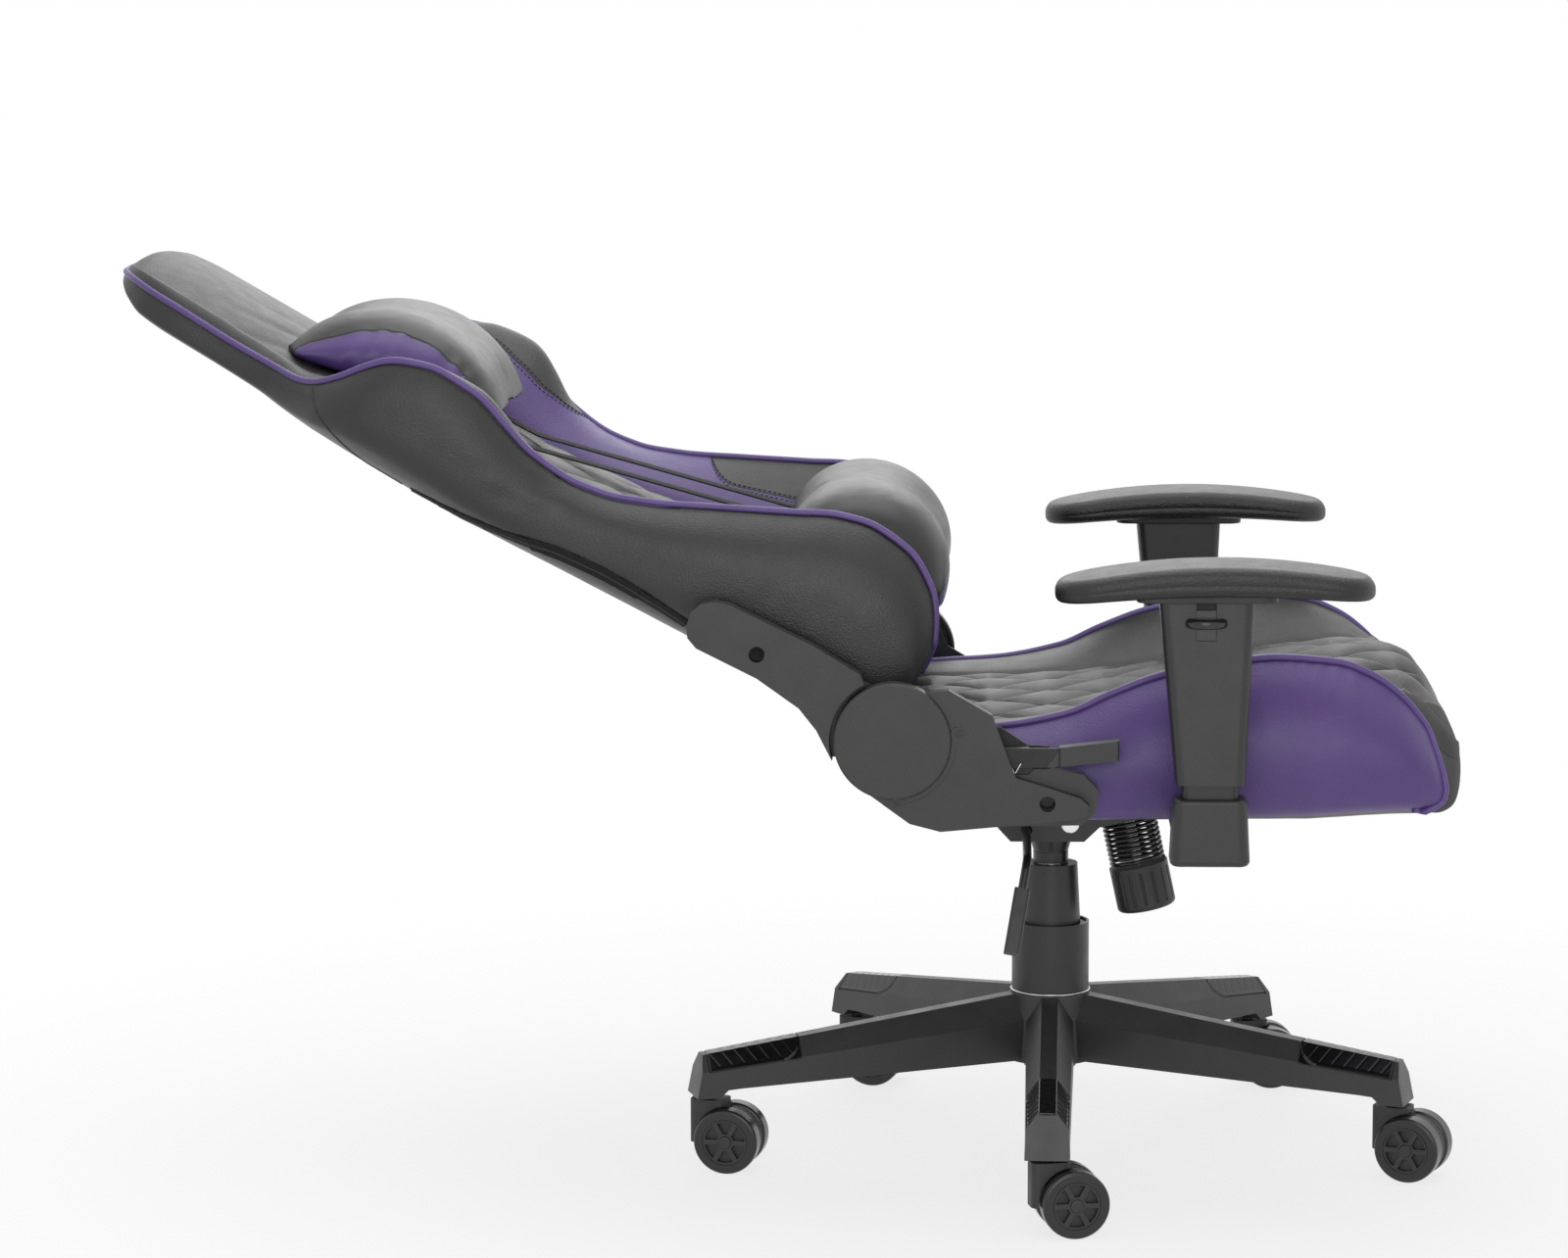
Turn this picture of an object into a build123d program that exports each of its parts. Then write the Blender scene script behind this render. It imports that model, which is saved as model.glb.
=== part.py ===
from build123d import *
from math import cos, pi, radians, sin, sqrt
import os

os.makedirs("parts", exist_ok=True)

# The chair faces +X, its right-hand side is -Y, and the origin is on the floor under the gas lift.
# All sizes are millimetres.

# Star base
BASE_TURN = -1.2
ARM_COUNT = 5
ARM_ROOT = 20.0
ARM_TIP_TOP = 338.0
ARM_TIP_FOOT = 345.5
ARM_OVERRUN = 360.0
RIDGE_TIP_Z = 107.8
RIDGE_SLOPE = 0.1356
FOOT_Z = 69.0
ARM_TOP_HALF = 7.5
ARM_SHOULDER_HALF = 19.0
ARM_FOOT_HALF = 20.0
ARM_ROOT_WIDER = 3.0
SHOULDER_DROP_TIP = 14.0
SHOULDER_DROP_ROOT = 24.0
ARM_WALL = 4.0
ARM_CEILING = 6.5
RIB = 4.0
POCKET_STOPS = (48.0, 112.0, 174.0, 236.0, 302.0)
HUB_R_TOP = 37.0
HUB_R_FOOT = 42.0
HUB_Z = 86.0
HUB_TOP_Z = 150.0
INLAY_FROM = 246.0
INLAY_TO = 334.0
INLAY_DEEP = 1.6
INLAY_GAP = 0.15

# Casters
CASTER_R = 330.0
CASTER_TURNS = (12.0, -22.0, 6.0, -14.0, -11.0)
WHEEL_R = 30.0
WHEEL_INNER_Y = 7.5
WHEEL_WIDE = 18.0
WHEEL_EDGE = 3.0
HUB_RECESS_R = 19.0
HUB_RECESS = 4.5
SPOKES = 6
SPOKE_WIDE = 4.5
CAP_R = 6.0
CAP_PROUD = 2.0
TRAIL = 21.0
STEM_R = 5.5
STEM_TOP_Z = 98.0
STEM_SEAT_Z = 50.0
AXLE_R = 4.0
FORK_HALF = 13.0
FORK_TOP_Z = 66.0
FORK_FRONT = 16.0
WEB_HALF = 6.0
WEB_R = 28.0

# Clearances
SEAT_FIT = 0.05
RUN_GAP = 0.3
FOAM_GAP = 0.3
SOFT_GAP = 0.5

# Gas lift and its covers
TUBE_R = 25.0
TUBE_FOOT_R = 24.3
TUBE_Z = 78.0
TUBE_TOP_Z = 208.0
TUBE_WIDE_BORE = 18.0
TUBE_GUIDE_Z = 150.0
TUBE_FLOOR = 4.0
ROD_R = 4.0
ROD_TOP_Z = 200.0
PISTON_LONG = 10.0
ROD_COLLAR_R = 9.0
BEARING_R = 11.0
BEARING_TALL = 4.0
CYL_R = 14.0
CYL_BORE = 11.0
CYL_Z = 100.0
CYL_TOP_Z = 297.0
CYL_BORE_TOP_Z = 282.0
CYL_FLOOR = 6.0
BUTTON_R = 3.5
BUTTON_Z = 289.0
BUTTON_TOP_Z = 306.2
BUTTON_WELL_Z = 284.0
COVER_WALL = 2.4
LOWER_COVER_R = 36.0
LOWER_COVER_TOP_Z = 216.0
MIDDLE_COVER_R = 32.5
MIDDLE_COVER_Z = 153.0
MIDDLE_COVER_TOP_Z = 214.0
UPPER_COVER_R = 28.0
UPPER_COVER_Z = 156.0
UPPER_COVER_KNEE_Z = 213.0
UPPER_COVER_TOP_Z = 271.0
UPPER_COVER_TOP_R = 25.0

# Tilt mechanism
SHEET = 3.0
HOUSING_HALF = 56.0
HOUSING_FLOOR_Z = 300.0
SOCKET_R = 22.0
SOCKET_NECK_R = 16.4
SOCKET_NECK_Z = 283.0
SOCKET_Z = 272.0
TILT_X = 17.0
TILT_Z = 317.0
TILT_PIN_R = 6.0
TILT_HEAD_R = 8.5
TILT_HEAD = 5.0
EAR_R = 13.0
EAR_Y = 40.0
EAR_THICK = 4.0
PLATE_Z = 342.4
PLATE_THICK = 4.0
PLATE_FRONT = 132.0
PLATE_REAR = -108.0
PLATE_HALF = 96.0
TENSION_X = 86.0
TENSION_Z = 249.5
TENSION_LEAN = 12.0
KNOB_R = 27.5
KNOB_TALL = 42.0
KNOB_GROOVES = 16
KNOB_GROOVE_R = 1.4
BOLT_R = 5.0
BOLT_TOP = 94.0
COIL_R = 24.5
COIL_WIRE_R = 1.8
COIL_TURNS = 10
COIL_TOP = 71.0
COIL_GAP = 0.4
LEVER_ROD_R = 4.0
LEVER_BEND_R = 14.0
GRIP_LONG = 60.0
GRIP_WIDE = 14.0
GRIP_THICK = 8.0

# Seat
SEAM_HALF = 150.0
SEAT_FOOT_Z = 347.0
SEAT_RAIL_Y = 205.0
SEAT_RAIL_Z = 376.0
SEAT_RAIL = 20.0
SEAT_TUBE_R = 10.0
SEAT_BOLT_X = -7.5
SEAT_BOLT_R = 4.0
SEAT_BOLT_HEAD_R = 7.0

# Recliner, both sides
PIVOT_X = -143.0
PIVOT_Z = 431.0
RECLINE = 30.5
BRACKET_THICK = 4.0
BRACKET_Y = 264.0
BRACKET_DISC_R = 44.0
BRACKET_SPACE = 0.6
PIVOT_PIN_R = 9.0
PIVOT_HEAD_R = 13.0
COVER_SHELL = 2.5
SEAT_COVER_Y = 283.0
SEAT_COVER_OUT = 296.0
DISC_R = 51.5
DISC_OUT = 300.0
LOBE_Y = 268.4
BACK_COVER_Y = 273.0
BACK_COVER_OUT = 294.0
DISC_GAP = 4.0
DISC_BAND = 5.0
FLANGE_R = 62.0
ACCESS_HOLE_R = 7.0
BACK_HOLE_U = 140.6
BACK_HOLE_W = 5.3
SCREW_R = 3.0
SCREW_HEAD_R = 4.6
CROSS_LONG = 5.6
CROSS_WIDE = 1.1
CROSS_DEEP = 1.2
LEVER_PIVOT_X = -62.0
LEVER_PIVOT_Z = 417.0
RECLINE_LEVER_Y = 285.5
RECLINE_LEVER_THICK = 5.0

# Back rest, in its own upright frame: u runs up from the pivot, w runs to the front
BACK_FOOT_U = 8.0
BACK_TUBE_R = 10.0
BACK_TUBE_V = 112.0
BACK_TUBE_W = -14.0
BACK_TUBE_TOP_U = 700.0
STRAP_WIDE = 25.0
STRAP_THICK = 1.6
STRAP_V = 55.0

# Armrests
ARM_X = 133.0
ARM_Y = 309.0
CUP_Z = 326.0
CUP_TOP_Z = 385.0
CUP_FOOT_LONG = 70.0
CUP_TOP_LONG = 64.0
CUP_THICK = 40.0
CUP_FLOOR = 10.0
POST_LONG = 49.0
POST_THICK = 24.0
POST_TOP_Z = 530.0
POST_FIT = 0.1
SLEEVE_Z = 398.0
SLEEVE_TOP_Z = 558.0
SLEEVE_FOOT_LONG = 60.0
SLEEVE_TOP_LONG = 82.0
SLEEVE_THICK = 42.0
SLEEVE_LEAN = -4.0
SLEEVE_ROOF = 12.0
PAD_X = 136.0
PAD_LONG = 276.0
PAD_WIDE = 94.0
PAD_PLATE_LONG = 122.0
PAD_PLATE_WIDE = 60.0
PAD_PLATE = 5.0
ARM_PLATE = 5.0
ARM_PLATE_LONG = 60.0
ARM_PLATE_IN = 128.0
ARM_BOLT_Y = 139.0
ARM_BOLT_SPREAD = 20.0
TRIGGER_X = 128.0
TRIGGER_WIDE = 17.0
TRIGGER_Z = 525.0
TRIGGER_TOP_Z = 551.0
TRIGGER_LIP_Z = 540.0
TRIGGER_LIP_R = 20.0


def prism_y(points, y_from, y_to):
    """Extrude an outline given as (x, z) points from y_from to y_to."""
    outline = Wire.make_polygon([(x, y_from, z) for x, z in points])
    return extrude(Face(outline), amount=y_to - y_from, dir=(0, 1, 0))


def disc_y(x, z, radius, y_from, y_to):
    """A round bar along Y."""
    middle = Location((x, (y_from + y_to) / 2, z), (90, 0, 0))
    return middle * Cylinder(radius, abs(y_to - y_from))


def disc_z(x, y, radius, z_from, z_to):
    """A round bar along Z."""
    return Pos(x, y, (z_from + z_to) / 2) * Cylinder(radius, z_to - z_from)


def ring_z(outer, inner, z_from, z_to):
    return disc_z(0, 0, outer, z_from, z_to) - disc_z(0, 0, inner, z_from - 1, z_to + 1)


def block(x_from, x_to, y_from, y_to, z_from, z_to):
    centre = Pos((x_from + x_to) / 2, (y_from + y_to) / 2, (z_from + z_to) / 2)
    return centre * Box(x_to - x_from, y_to - y_from, z_to - z_from)


def line(a, b):
    return Edge.make_line(a, b)


def arc(a, through, b):
    return Edge.make_three_point_arc(a, through, b)


def other_side(shape):
    return mirror(shape, about=Plane.XZ)


def both_sides(shape):
    return [shape, other_side(shape)]


def solids_of(shapes):
    found = []
    for shape in shapes:
        found += list(shape.solids())
    return found


def save(name, *shapes):
    pieces = solids_of(shapes)
    whole = pieces[0] if len(pieces) == 1 else Compound(children=pieces)
    export_step(whole, "parts/" + name + ".step")


# Star base: five hollow arms on a hub, with a ribbed inlay let into each arm's tip

def ridge_z(r):
    return RIDGE_TIP_Z + RIDGE_SLOPE * (ARM_TIP_TOP - r)


def arm_loft(r_from, r_to, inset, top_inset, foot_z):
    wires = []
    for r in (r_from, r_to):
        inward = (ARM_TIP_TOP - r) / (ARM_TIP_TOP - ARM_ROOT)
        wider = ARM_ROOT_WIDER * inward
        drop = SHOULDER_DROP_TIP + (SHOULDER_DROP_ROOT - SHOULDER_DROP_TIP) * inward
        top = ridge_z(r) - top_inset
        shoulder = ridge_z(r) - drop - top_inset
        side_slope = (ARM_FOOT_HALF - ARM_SHOULDER_HALF) / (ridge_z(r) - drop - FOOT_Z)
        half = [ARM_FOOT_HALF + wider - inset,
                ARM_SHOULDER_HALF + wider - inset + side_slope * top_inset]
        peak = ARM_TOP_HALF - inset / 3
        points = [(r, -half[0], foot_z), (r, half[0], foot_z), (r, half[1], shoulder),
                  (r, peak, top), (r, -peak, top), (r, -half[1], shoulder)]
        wires.append(Wire.make_polygon(points))
    return Solid.make_loft(wires, True)


def star_arm():
    arm = Part() + arm_loft(ARM_ROOT, ARM_OVERRUN, 0, 0, FOOT_Z)
    past_tip = [(ARM_TIP_TOP - 1, RIDGE_TIP_Z + 4), (ARM_TIP_TOP, RIDGE_TIP_Z),
                (ARM_TIP_FOOT, FOOT_Z), (ARM_TIP_FOOT + 1, FOOT_Z - 4), (400, FOOT_Z - 4),
                (400, RIDGE_TIP_Z + 4)]
    arm -= prism_y(past_tip, -60, 60)
    under = [(15, 40), (15, 89), (302, 77), (316, 76), (324, FOOT_Z), (324, 40)]
    arm -= prism_y(under, -60, 60)
    for start, stop in zip(POCKET_STOPS[:-1], POCKET_STOPS[1:]):
        arm -= arm_loft(start, stop - RIB, ARM_WALL, ARM_CEILING, FOOT_Z - 9)
    span = block(INLAY_FROM, INLAY_TO, -60, 60, FOOT_Z, RIDGE_TIP_Z + 40)
    below = arm_loft(ARM_ROOT, ARM_OVERRUN, 0, INLAY_DEEP, FOOT_Z)
    inlay = (Part() + arm_loft(ARM_ROOT, ARM_OVERRUN, 0, 0, FOOT_Z)) & span
    inlay -= below
    wide_span = block(INLAY_FROM - INLAY_GAP, INLAY_TO + INLAY_GAP, -60, 60, FOOT_Z, 200)
    deep = arm_loft(ARM_ROOT, ARM_OVERRUN, 0, INLAY_DEEP + INLAY_GAP, FOOT_Z)
    recess = wide_span - deep
    arm -= recess & block(INLAY_FROM - 1, INLAY_TO + 1, -60, 60, FOOT_Z + 8, 200)
    socket = disc_z(CASTER_R, 0, STEM_R + RUN_GAP, FOOT_Z - 5, STEM_TOP_Z + 2)
    return arm - socket, inlay


def arm_angle(index):
    return -90 + BASE_TURN + index * 360 / ARM_COUNT


one_arm, one_inlay = star_arm()
hub_middle = Pos(0, 0, (HUB_Z + HUB_TOP_Z) / 2)
star_base = hub_middle * Cone(HUB_R_FOOT, HUB_R_TOP, HUB_TOP_Z - HUB_Z)
inlays = []
for index in range(ARM_COUNT):
    turn = Rot(0, 0, arm_angle(index))
    star_base += turn * one_arm
    inlays.append(turn * one_inlay)
star_base -= disc_z(0, 0, 80, HUB_TOP_Z, HUB_TOP_Z + 40)
taper_middle = Pos(0, 0, (TUBE_Z + TUBE_GUIDE_Z) / 2)
taper_tall = TUBE_GUIDE_Z - TUBE_Z
star_base -= taper_middle * Cone(TUBE_FOOT_R + SEAT_FIT, TUBE_R + SEAT_FIT, taper_tall)
save("star_base", star_base)
save("base_inlays", *inlays)


# Casters: fork with its stem and axle, and two wheels that turn by themselves

def wheel():
    width_middle = WHEEL_INNER_Y + WHEEL_WIDE / 2
    outer_y = WHEEL_INNER_Y + WHEEL_WIDE
    body = disc_y(TRAIL, WHEEL_R, WHEEL_R, WHEEL_INNER_Y, outer_y)
    body = fillet(body.edges().filter_by(GeomType.CIRCLE), WHEEL_EDGE)
    recess = disc_y(TRAIL, WHEEL_R, HUB_RECESS_R, outer_y - HUB_RECESS, outer_y + 1)
    for spoke in range(SPOKES // 2):
        bar = Box(2 * HUB_RECESS_R + 2, WHEEL_WIDE, SPOKE_WIDE)
        recess -= Location((TRAIL, width_middle + 5, WHEEL_R), (0, 60 * spoke, 0)) * bar
    recess -= disc_y(TRAIL, WHEEL_R, CAP_R + 2, WHEEL_INNER_Y, outer_y + 2)
    body -= recess
    cap = disc_y(TRAIL, WHEEL_R, CAP_R, outer_y - 1, outer_y + CAP_PROUD)
    body += fillet(cap.edges().group_by(Axis.Y)[-1], CAP_PROUD - 0.3)
    groove = disc_y(TRAIL, WHEEL_R, HUB_RECESS_R + 2.6, outer_y - 1, outer_y + 1)
    groove -= disc_y(TRAIL, WHEEL_R, HUB_RECESS_R + 1.4, outer_y - 2, outer_y + 2)
    body -= groove
    return body - disc_y(TRAIL, WHEEL_R, AXLE_R + RUN_GAP, 0, outer_y - 4)


def fork():
    body = block(-FORK_FRONT, FORK_FRONT + 3, -FORK_HALF, FORK_HALF, 26, FORK_TOP_Z)
    body = fillet(body.edges().filter_by(Axis.Z), 7)
    body -= disc_y(TRAIL, WHEEL_R, WHEEL_R + 1.5, -40, 40)
    web = disc_y(TRAIL, WHEEL_R, WEB_R, -WEB_HALF, WEB_HALF)
    web += block(-2, TRAIL, -WEB_HALF, WEB_HALF, WHEEL_R, WHEEL_R + WEB_R + 4)
    web -= block(-20, 60, -20, 20, -2, 9)
    body += web
    stem = disc_z(0, 0, STEM_R, STEM_SEAT_Z, STEM_TOP_Z)
    body -= disc_z(0, 0, STEM_R + SEAT_FIT, STEM_SEAT_Z, STEM_TOP_Z)
    axle_end = WHEEL_INNER_Y + WHEEL_WIDE - 5
    axle = disc_y(TRAIL, WHEEL_R, AXLE_R, -axle_end, axle_end)
    body -= disc_y(TRAIL, WHEEL_R, AXLE_R + SEAT_FIT, -40, 40)
    return body, stem, axle


fork_body, fork_stem, fork_axle = fork()
far_wheel = wheel()
near_wheel = other_side(far_wheel)
CASTER_NAMES = ("right", "front_right", "front_left", "rear_left", "rear_right")
for index, side in enumerate(CASTER_NAMES):
    angle = radians(arm_angle(index))
    spot = Location((CASTER_R * cos(angle), CASTER_R * sin(angle), 0), (0, 0, CASTER_TURNS[index]))
    save("caster_fork_" + side, spot * fork_body, spot * fork_stem, spot * fork_axle)
    save("caster_wheel_a_" + side, spot * near_wheel)
    save("caster_wheel_b_" + side, spot * far_wheel)

# Gas lift: stand tube held in the hub, piston rod on its thrust bearing, sliding cylinder

tube = taper_middle * Cone(TUBE_FOOT_R, TUBE_R, taper_tall)
tube += disc_z(0, 0, TUBE_R, TUBE_GUIDE_Z, TUBE_TOP_Z)
tube -= disc_z(0, 0, TUBE_WIDE_BORE, TUBE_Z + TUBE_FLOOR, TUBE_GUIDE_Z)
tube -= disc_z(0, 0, CYL_R + RUN_GAP, TUBE_GUIDE_Z - 1, TUBE_TOP_Z + 1)
tube -= disc_z(0, 0, ROD_R + RUN_GAP, TUBE_Z - 1, TUBE_Z + TUBE_FLOOR + 1)
save("stand_tube", tube)
bearing_z = TUBE_Z + TUBE_FLOOR
bearing_top = bearing_z + BEARING_TALL
save("thrust_bearing", ring_z(BEARING_R, ROD_R + RUN_GAP, bearing_z, bearing_top))
rod = disc_z(0, 0, ROD_R, TUBE_Z + 1, ROD_TOP_Z - PISTON_LONG + 1)
rod += disc_z(0, 0, ROD_COLLAR_R, bearing_top + RUN_GAP, bearing_top + 6)
rod += disc_z(0, 0, CYL_BORE - RUN_GAP, ROD_TOP_Z - PISTON_LONG, ROD_TOP_Z)
save("piston_rod", rod)
cylinder = disc_z(0, 0, CYL_R, CYL_Z, CYL_TOP_Z)
cylinder -= disc_z(0, 0, CYL_BORE, CYL_Z + CYL_FLOOR, CYL_BORE_TOP_Z)
cylinder -= disc_z(0, 0, ROD_R + RUN_GAP, CYL_Z - 1, CYL_Z + CYL_FLOOR + 1)
cylinder -= disc_z(0, 0, BUTTON_R + RUN_GAP, BUTTON_WELL_Z, CYL_TOP_Z + 1)
save("gas_cylinder", cylinder)
button = disc_z(0, 0, BUTTON_R, BUTTON_Z, BUTTON_TOP_Z)
save("valve_button", chamfer(button.edges().filter_by(GeomType.CIRCLE), 0.6))

lower_cover = ring_z(LOWER_COVER_R, LOWER_COVER_R - COVER_WALL, HUB_TOP_Z, LOWER_COVER_TOP_Z)
lower_cover += ring_z(LOWER_COVER_R - 1, TUBE_R + 0.4, HUB_TOP_Z, HUB_TOP_Z + COVER_WALL)
save("dust_cover_lower", lower_cover)
middle_bore = UPPER_COVER_R + 1.5
middle_lip = LOWER_COVER_R - COVER_WALL - RUN_GAP
middle_cover = ring_z(MIDDLE_COVER_R, middle_bore, MIDDLE_COVER_Z, MIDDLE_COVER_TOP_Z)
middle_cover += ring_z(middle_lip, middle_bore, MIDDLE_COVER_Z, MIDDLE_COVER_Z + 4)
middle_cover += ring_z(MIDDLE_COVER_R, UPPER_COVER_R + RUN_GAP, MIDDLE_COVER_TOP_Z - 4,
                       MIDDLE_COVER_TOP_Z)
save("dust_cover_middle", middle_cover)


def upper_cover_solid(inset, top_z):
    knee_r = UPPER_COVER_R - inset
    taper = [(0, UPPER_COVER_Z), (knee_r, UPPER_COVER_Z), (knee_r, UPPER_COVER_KNEE_Z),
             (UPPER_COVER_TOP_R - inset, top_z), (0, top_z)]
    profile = Face(Wire.make_polygon([(x, 0, z) for x, z in taper]))
    return revolve(profile, Axis.Z)


upper_cover = upper_cover_solid(0, UPPER_COVER_TOP_Z)
upper_cover -= upper_cover_solid(COVER_WALL, UPPER_COVER_TOP_Z - COVER_WALL)
upper_cover -= disc_z(0, 0, CYL_R + SEAT_FIT, UPPER_COVER_TOP_Z - 10, UPPER_COVER_TOP_Z + 1)
save("dust_cover_upper", upper_cover)

# Tilt mechanism: pressed housing on the gas lift, seat plate hinged on it, spring and knob

lean = radians(TENSION_LEAN)


def along_tension(distance):
    return TENSION_X - distance * sin(lean), TENSION_Z + distance * cos(lean)


outline = [(-50, 321), (-50, 313), (-38, HOUSING_FLOOR_Z), (30, HOUSING_FLOOR_Z), (44, 313.4),
           (112, 327.9), (112, 333), (60, 336), (4, 336)]
hollow = [(-47, 350), (-47, 315), (-36.5, 303.5), (28.5, 303.5), (43, 317), (109, 331), (109, 350)]
housing = prism_y(outline, -HOUSING_HALF, HOUSING_HALF)
housing -= prism_y(hollow, -HOUSING_HALF + SHEET, HOUSING_HALF - SHEET)
cup_middle = Pos(0, 0, (SOCKET_NECK_Z + HOUSING_FLOOR_Z) / 2 + 1)
housing += cup_middle * Cone(SOCKET_NECK_R, SOCKET_R, HOUSING_FLOOR_Z - SOCKET_NECK_Z + 2)
housing += disc_z(0, 0, SOCKET_NECK_R, SOCKET_Z, SOCKET_NECK_Z + 1)
housing -= ring_z(SOCKET_NECK_R + 2, SOCKET_NECK_R - 0.8, SOCKET_NECK_Z - 1.2, SOCKET_NECK_Z)
housing -= disc_z(0, 0, CYL_R + SEAT_FIT, SOCKET_Z - 1, CYL_TOP_Z + 10)
housing -= disc_y(TILT_X, TILT_Z, TILT_PIN_R + SEAT_FIT, -HOUSING_HALF - 1, HOUSING_HALF + 1)
slot_x, slot_z = along_tension(COIL_TOP)
slot = SlotOverall(34, 16)
slot_cut = Location((slot_x + 1, 0, slot_z - 12)) * extrude(slot, amount=26)
housing -= slot_cut
lever_exit = (-23.0, -HOUSING_HALF + SHEET / 2, 311.0)
exit_hole = disc_y(lever_exit[0], lever_exit[2], LEVER_ROD_R + 1, -HOUSING_HALF - 2, -EAR_Y - 6)
housing -= exit_hole
save("mechanism_housing", housing)

pin = disc_y(TILT_X, TILT_Z, TILT_PIN_R, -HOUSING_HALF - 1, HOUSING_HALF + 1)
for side in (-1, 1):
    head_from = side * HOUSING_HALF
    head = disc_y(TILT_X, TILT_Z, TILT_HEAD_R, head_from, head_from + side * TILT_HEAD)
    head = fillet(head.edges().filter_by(GeomType.CIRCLE), 1.5)
    pin += head
save("tilt_pin", pin)

plate_top = PLATE_Z + PLATE_THICK
seat_plate = block(PLATE_REAR, PLATE_FRONT, -PLATE_HALF, PLATE_HALF, PLATE_Z, plate_top)
seat_plate = fillet(seat_plate.edges().filter_by(Axis.Z), 14)
for side in (-1, 1):
    inner = side * EAR_Y - EAR_THICK / 2
    ear = disc_y(TILT_X, TILT_Z, EAR_R, inner, inner + EAR_THICK)
    ear += block(TILT_X - EAR_R, TILT_X + EAR_R, inner, inner + EAR_THICK, TILT_Z, PLATE_Z + 1)
    seat_plate += ear
seat_plate -= disc_y(TILT_X, TILT_Z, TILT_PIN_R + RUN_GAP, -EAR_Y - 5, EAR_Y + 5)
bolt_spots = [(x, y) for x in (-88.0, 112.0) for y in (-78.0, 78.0)]
for x, y in bolt_spots:
    seat_plate -= disc_z(x, y, SEAT_BOLT_R + SEAT_FIT, PLATE_Z - 1, plate_top + 1)

tension = Location((TENSION_X, 0, TENSION_Z), (0, -TENSION_LEAN, 0))
bolt = tension * disc_z(0, 0, BOLT_R, -12, BOLT_TOP)
bolt -= block(0, 150, -20, 20, PLATE_Z, PLATE_Z + 30)
knob = fillet(disc_z(0, 0, KNOB_R, -KNOB_TALL / 2, KNOB_TALL / 2).edges().group_by(Axis.Z)[0], 4)
for groove in range(KNOB_GROOVES):
    step = radians(360 / KNOB_GROOVES * groove)
    x, y = KNOB_R * cos(step), KNOB_R * sin(step)
    knob -= disc_z(x, y, KNOB_GROOVE_R, -KNOB_TALL / 2 + 6, KNOB_TALL / 2 - 5)
knob -= disc_z(0, 0, BOLT_R + RUN_GAP, -12 - RUN_GAP, KNOB_TALL)
save("mechanism_seat_plate", seat_plate)
save("tension_bolt", bolt)
save("tension_knob", tension * knob)


# Tension spring: one tube swept on pairs of arcs, a quarter turn at a time

coil_start = KNOB_TALL / 2 + COIL_GAP + COIL_WIRE_R
coil_pitch = (COIL_TOP - COIL_GAP - COIL_WIRE_R - coil_start) / COIL_TURNS


def helix_point(turns):
    swing = 2 * pi * turns
    return Vector(COIL_R * cos(swing), COIL_R * sin(swing), coil_start + coil_pitch * turns)


def helix_way(turns):
    swing = 2 * pi * turns
    rise = coil_pitch / (2 * pi)
    return Vector(-COIL_R * sin(swing), COIL_R * cos(swing), rise).normalized()


def arc_pair(start, start_way, stop, stop_way):
    across = stop - start
    ways = start_way + stop_way
    spread = 2 * (1 - start_way.dot(stop_way))
    lean_in = across.dot(ways)
    reach = (sqrt(lean_in * lean_in + spread * across.dot(across)) - lean_in) / spread
    meet = (start + start_way * reach + stop - stop_way * reach) * 0.5
    first = Edge.make_tangent_arc(start, start_way, meet)
    way = (meet - start).normalized() * 2 * start_way.dot((meet - start).normalized()) - start_way
    return [first, Edge.make_tangent_arc(meet, way, stop)]


coil_edges = []
QUARTERS = 4 * COIL_TURNS
for quarter in range(QUARTERS):
    begin, end = quarter / 4, (quarter + 1) / 4
    coil_edges += arc_pair(helix_point(begin), helix_way(begin), helix_point(end), helix_way(end))
coil_path = Wire(coil_edges)
coil_section = Plane(origin=helix_point(0), z_dir=helix_way(0)) * Circle(COIL_WIRE_R)
coil = sweep(coil_section, path=coil_path)
samples = [edge.position_at(step / 6) for edge in coil_edges for step in range(6)]
per_turn = 48
nearest = min((samples[i] - samples[j]).length for i in range(len(samples))
              for j in range(i + per_turn // 2, len(samples)))
print("tension spring least gap to itself", round(nearest - 2 * COIL_WIRE_R, 2), "mm")
save("tension_spring", tension * coil)

# Lift lever: rod over the valve button, out through the housing wall, with a hanging grip

lever_elbow = (-23.0, -30.0, 311.0)
lever_bend = (-24.0, -210.0, 311.0)
lever_end = (-37.0, -240.0, 239.0)
lever_path = FilletPolyline((0, 9, 311), lever_elbow, lever_bend, lever_end, radius=LEVER_BEND_R)
lever_section = Plane(origin=lever_path @ 0, z_dir=lever_path % 0) * Circle(LEVER_ROD_R)
lift_lever = sweep(lever_section, path=lever_path)
grip_way = (Vector(*lever_end) - Vector(*lever_bend)).normalized()
grip_start = Vector(*lever_end) - grip_way * (GRIP_LONG - 8)
grip_plane = Plane(origin=grip_start, x_dir=(1, 0, 0), z_dir=grip_way)
lift_grip = extrude(grip_plane * RectangleRounded(GRIP_WIDE, GRIP_THICK + 3, 2.5), amount=GRIP_LONG)
rod_well = extrude(grip_plane * Circle(LEVER_ROD_R + SEAT_FIT), amount=GRIP_LONG - 8 + SEAT_FIT)
save("lift_lever", lift_lever)
save("lift_lever_grip", lift_grip - rod_well)

# Seat: stations run along X as (x, foot, crown, seam, piping height, piping y, side y, foot y)

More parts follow.
